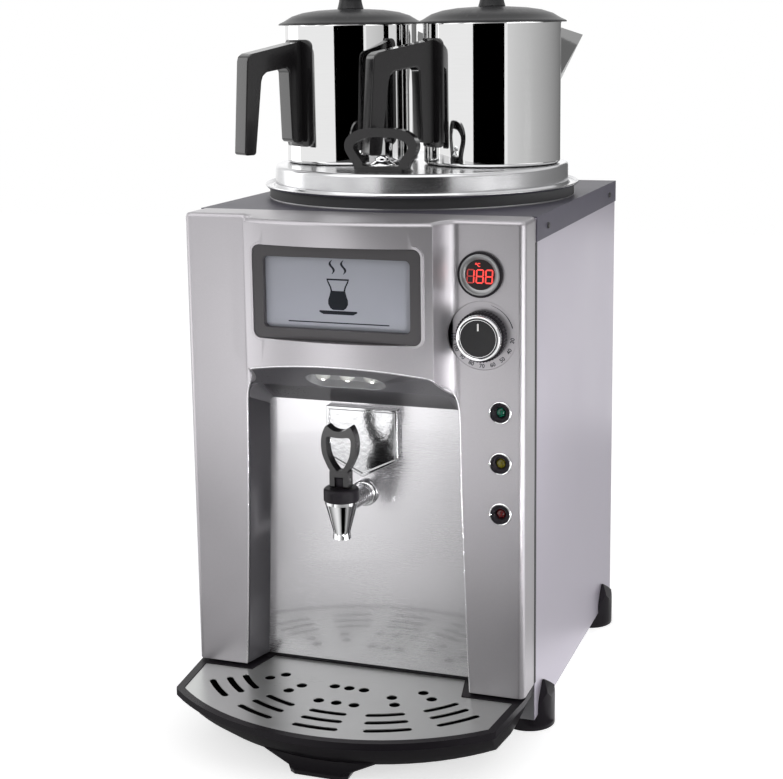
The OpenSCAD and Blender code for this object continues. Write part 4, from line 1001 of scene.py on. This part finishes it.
    @staticmethod
    def indicators():
        """Indicator lamps: a polished rim, a dark funnel and a small lens each."""
        lenses = ("green_lens", "amber_lens", "red_lens")
        rim = [(9.6, 0.0), (11.5, 0.0), (11.5, 1.2), (11.1, 1.9), (10.5, 2.2), (9.9, 1.9), (9.6, 1.2)]
        funnel = [(4.9, -1.8), (5.6, 0.4), (7.0, 1.5), (9.0, 1.9), (9.8, 1.5), (9.8, 0.0), (9.0, -0.6),
                  (9.0, -7.0), (7.5, -7.0), (7.5, -2.0)]
        rims, funnels = [], []
        for node in lenses:
            centre = faced(node, CASE_FRONT - FACE_D)
            rims.append(turned(f"{node}_rim", rim, centre, steps=96))
            funnels.append(turned(f"{node}_funnel", funnel, centre, steps=96))
        stands_for(joined("lamp_rims", rims), "lamp_bezels")
        adds(joined("lamp_funnels", funnels), "casing", "black_plastic")
        kept(*lenses)


class URN_OT_bay(UrnOperator, bpy.types.Operator):
    """Finish the bay's liner, back plate, lamp pan, lamps and emblem plate"""

    bl_idname = "urn.bay"
    bl_label = "Bay"

    def build(self, context):
        eased("bay_liner", 0.8)
        eased("bay_back_plate", 0.4)
        pan = eased("hood_lamp_pan", 0.4)
        eased("hood_lamps", 0.2)
        hammered = finish("hammered_chrome", (0.47, 0.47, 0.48), 1.0, 0.13, 120, 0.20, 0.06, 0.03, 0.5, 1.0)
        wear(eased("emblem_plate", 0.9, 3), hammered)
        wear(pan, finish("pan_satin", (0.36, 0.36, 0.37), 0.6, 0.30, 900, 0.04, 0.06, 0.05))
        adds(self.chips(), "casing", "lamp_white", glowing("chip_glow", (1.0, 0.98, 0.94), 1.0))

    @staticmethod
    def chips():
        """The bright spots in the hood's three lamps."""
        out = Vector((0, -math.sin(HOOD_SLOPE), -math.cos(HOOD_SLOPE)))
        turn = out.to_track_quat("Z", "Y").to_matrix().to_4x4()
        low, high = mm_box("hood_lamps")
        verts = [vert.co / MM for vert in NODES["hood_lamps"].data.vertices]
        beads = []
        for i in range(3):
            across = low.x + (high.x - low.x) * (2 * i + 1) / 6
            own = [spot for spot in verts if abs(spot.x - across) < 4]
            tip = max(own, key=lambda spot: spot.dot(out))
            bead = turned(f"chip_{i}", [(0, -0.6), (2.1, -0.6), (1.8, 0.1), (1.0, 0.4), (0, 0.5)],
                          Vector((0, 0, 0)), "up", 32)
            place = tip + Vector((2.0, -0.5, 0.2))
            bead.data.transform(Matrix.Translation(place * MM) @ turn)
            beads.append(bead)
        return joined("hood_chips", beads)


class URN_OT_tap(UrnOperator, bpy.types.Operator):
    """Finish the tap: flange, body, bonnet, lever, pin and plunger"""

    bl_idname = "urn.tap"
    bl_label = "Tap"

    def build(self, context):
        widths = {"tap_flange": 0.5, "tap_body": 0.4, "tap_bonnet": 0.5, "lever_pin": 0.3}
        for node, width in widths.items():
            eased(node, width)
        # The chrome plunger wears black so that the notch in the lever reads dark: painted shade
        wear(eased("tap_plunger", 0.4), finish_of("black_plastic"))
        eased("tap_lever", chosen("lever_round"))


# How far the grille's slots are eased open in mm, and how wide a loop of edges is its rim in metres
SLOT_EASE = 0.55
RIM_WIDE = 0.2


class URN_OT_tray(UrnOperator, bpy.types.Operator):
    """Finish the drip tray and its grille"""

    bl_idname = "urn.tray"
    bl_label = "Drip tray"

    def build(self, context):
        eased("drip_tray", chosen("tray_ease"), 3)
        stands_for(eased_copy("drip_grille", [(0.2, None)], reshape=self.widen_slots), "drip_grille")

    @staticmethod
    def widen_slots(build):
        """Eases the grille's slots and holes open all round and leaves its outer rim."""
        bmesh.ops.remove_doubles(build, verts=build.verts, dist=WELD)
        moves = {}
        for face in build.faces:
            if abs(face.normal.z) > 0.5:
                continue
            for vert in face.verts:
                moves[vert] = moves.get(vert, Vector()) + face.normal * face.calc_area()
        seen, rim = set(), set()
        for start in moves:
            if start in seen:
                continue
            loop, queue = {start}, [start]
            while queue:
                for edge in queue.pop().link_edges:
                    if not any(abs(face.normal.z) < 0.5 for face in edge.link_faces):
                        continue
                    for vert in edge.verts:
                        if vert in moves and vert not in loop:
                            loop.add(vert)
                            queue.append(vert)
            seen |= loop
            if max(vert.co.x for vert in loop) - min(vert.co.x for vert in loop) > RIM_WIDE:
                rim |= loop
        for vert, push in moves.items():
            if vert not in rim and push.length > 0:
                vert.co -= push.normalized() * SLOT_EASE * MM


class URN_OT_lid(UrnOperator, bpy.types.Operator):
    """Finish the boiler's lid, its loop handle and its vent cap"""

    bl_idname = "urn.lid"
    bl_label = "Boiler lid"

    def build(self, context):
        eased("lid_shell", 0.3)
        eased("lid_handle", chosen("loop_round"), 4)
        eased("lid_vent_cap", 0.5)


class URN_OT_pots(UrnOperator, bpy.types.Operator):
    """Finish the two serving pots with their handles, lids and knobs"""

    bl_idname = "urn.pots"
    bl_label = "Serving pots"

    # Where the pots stand, and how far from a pot's axis its grip begins, in mm
    pot_x = 82.0
    pot_y = 190.4
    grip_start = 81.0

    def build(self, context):
        lids = context.scene.urn_colours.lids
        dull = finish("lid_grey", lids, 0.0, 0.34, 1500, 0.08, 0.10, 0.12, 0.2)
        for side, x, turn in (("left", -self.pot_x, -33.0), ("right", self.pot_x, -47.0)):
            eased(f"{side}_pot", 0.3)
            wear(eased(f"{side}_pot_lid", 0.4), dull)
            wear(eased(f"{side}_pot_knob", 0.8), dull)
            self.grip(f"{side}_pot_handle", x, math.radians(turn))

    def grip(self, node, x, turn):
        """A pot's handle, well rounded beyond the plate that holds it."""
        outward = Vector((math.sin(turn), -math.cos(turn), 0))
        start = (at_case(x, self.pot_y, 0) + outward * self.grip_start) * MM

        def cut(build):
            geom = build.verts[:] + build.edges[:] + build.faces[:]
            bmesh.ops.bisect_plane(build, geom=geom, dist=1e-6, plane_co=start, plane_no=outward)

        def beyond(edge):
            return all((spot.co - start).dot(outward) > -1e-5 for spot in edge.verts)

        stands_for(eased_copy(node, [(chosen("grip_round"), beyond)], 4, reshape=cut), node)


class URN_OT_insides(UrnOperator, bpy.types.Operator):
    """Finish the pieces that the case hides"""

    bl_idname = "urn.insides"
    bl_label = "Insides"

    def build(self, context):
        kept("display_module", "thermostat_body", "thermostat_shaft", "lamp_bodies", "control_board",
             "boiler_tank", "insulation_jacket", "heating_element", "dry_boil_cutout", "rim_seal",
             "tap_shank", "shank_nut", "seat_cup")


STEPS = (URN_OT_stage, URN_OT_case, URN_OT_front, URN_OT_sign, URN_OT_controls, URN_OT_bay, URN_OT_tap,
         URN_OT_tray, URN_OT_lid, URN_OT_pots, URN_OT_insides)


class URN_PT_panel(bpy.types.Panel):
    """Buttons for each of the urn's pieces, and the values they use"""

    bl_idname = "URN_PT_panel"
    bl_label = "Hot water urn"
    bl_space_type = "VIEW_3D"
    bl_region_type = "UI"
    bl_category = "Urn"

    def draw(self, context):
        for step in STEPS:
            self.layout.operator(step.bl_idname)
        for group in (context.scene.urn_colours, context.scene.urn_sizes, context.scene.urn_studio):
            box = self.layout.box()
            for name in type(group).__annotations__:
                box.prop(group, name)


CLASSES = (UrnColours, UrnSizes, UrnStudio, *STEPS, URN_PT_panel)
GROUPS = {"urn_colours": UrnColours, "urn_sizes": UrnSizes, "urn_studio": UrnStudio}


def register():
    for item in CLASSES:
        bpy.utils.register_class(item)
    for name, group in GROUPS.items():
        setattr(bpy.types.Scene, name, PointerProperty(type=group))


def unregister():
    for name in GROUPS:
        delattr(bpy.types.Scene, name)
    for item in reversed(CLASSES):
        bpy.utils.unregister_class(item)


def main():
    """Builds every piece in order."""
    register()
    for step in STEPS:
        group, name = step.bl_idname.split(".")
        getattr(getattr(bpy.ops, group), name)()


if __name__ == "__main__":
    main()
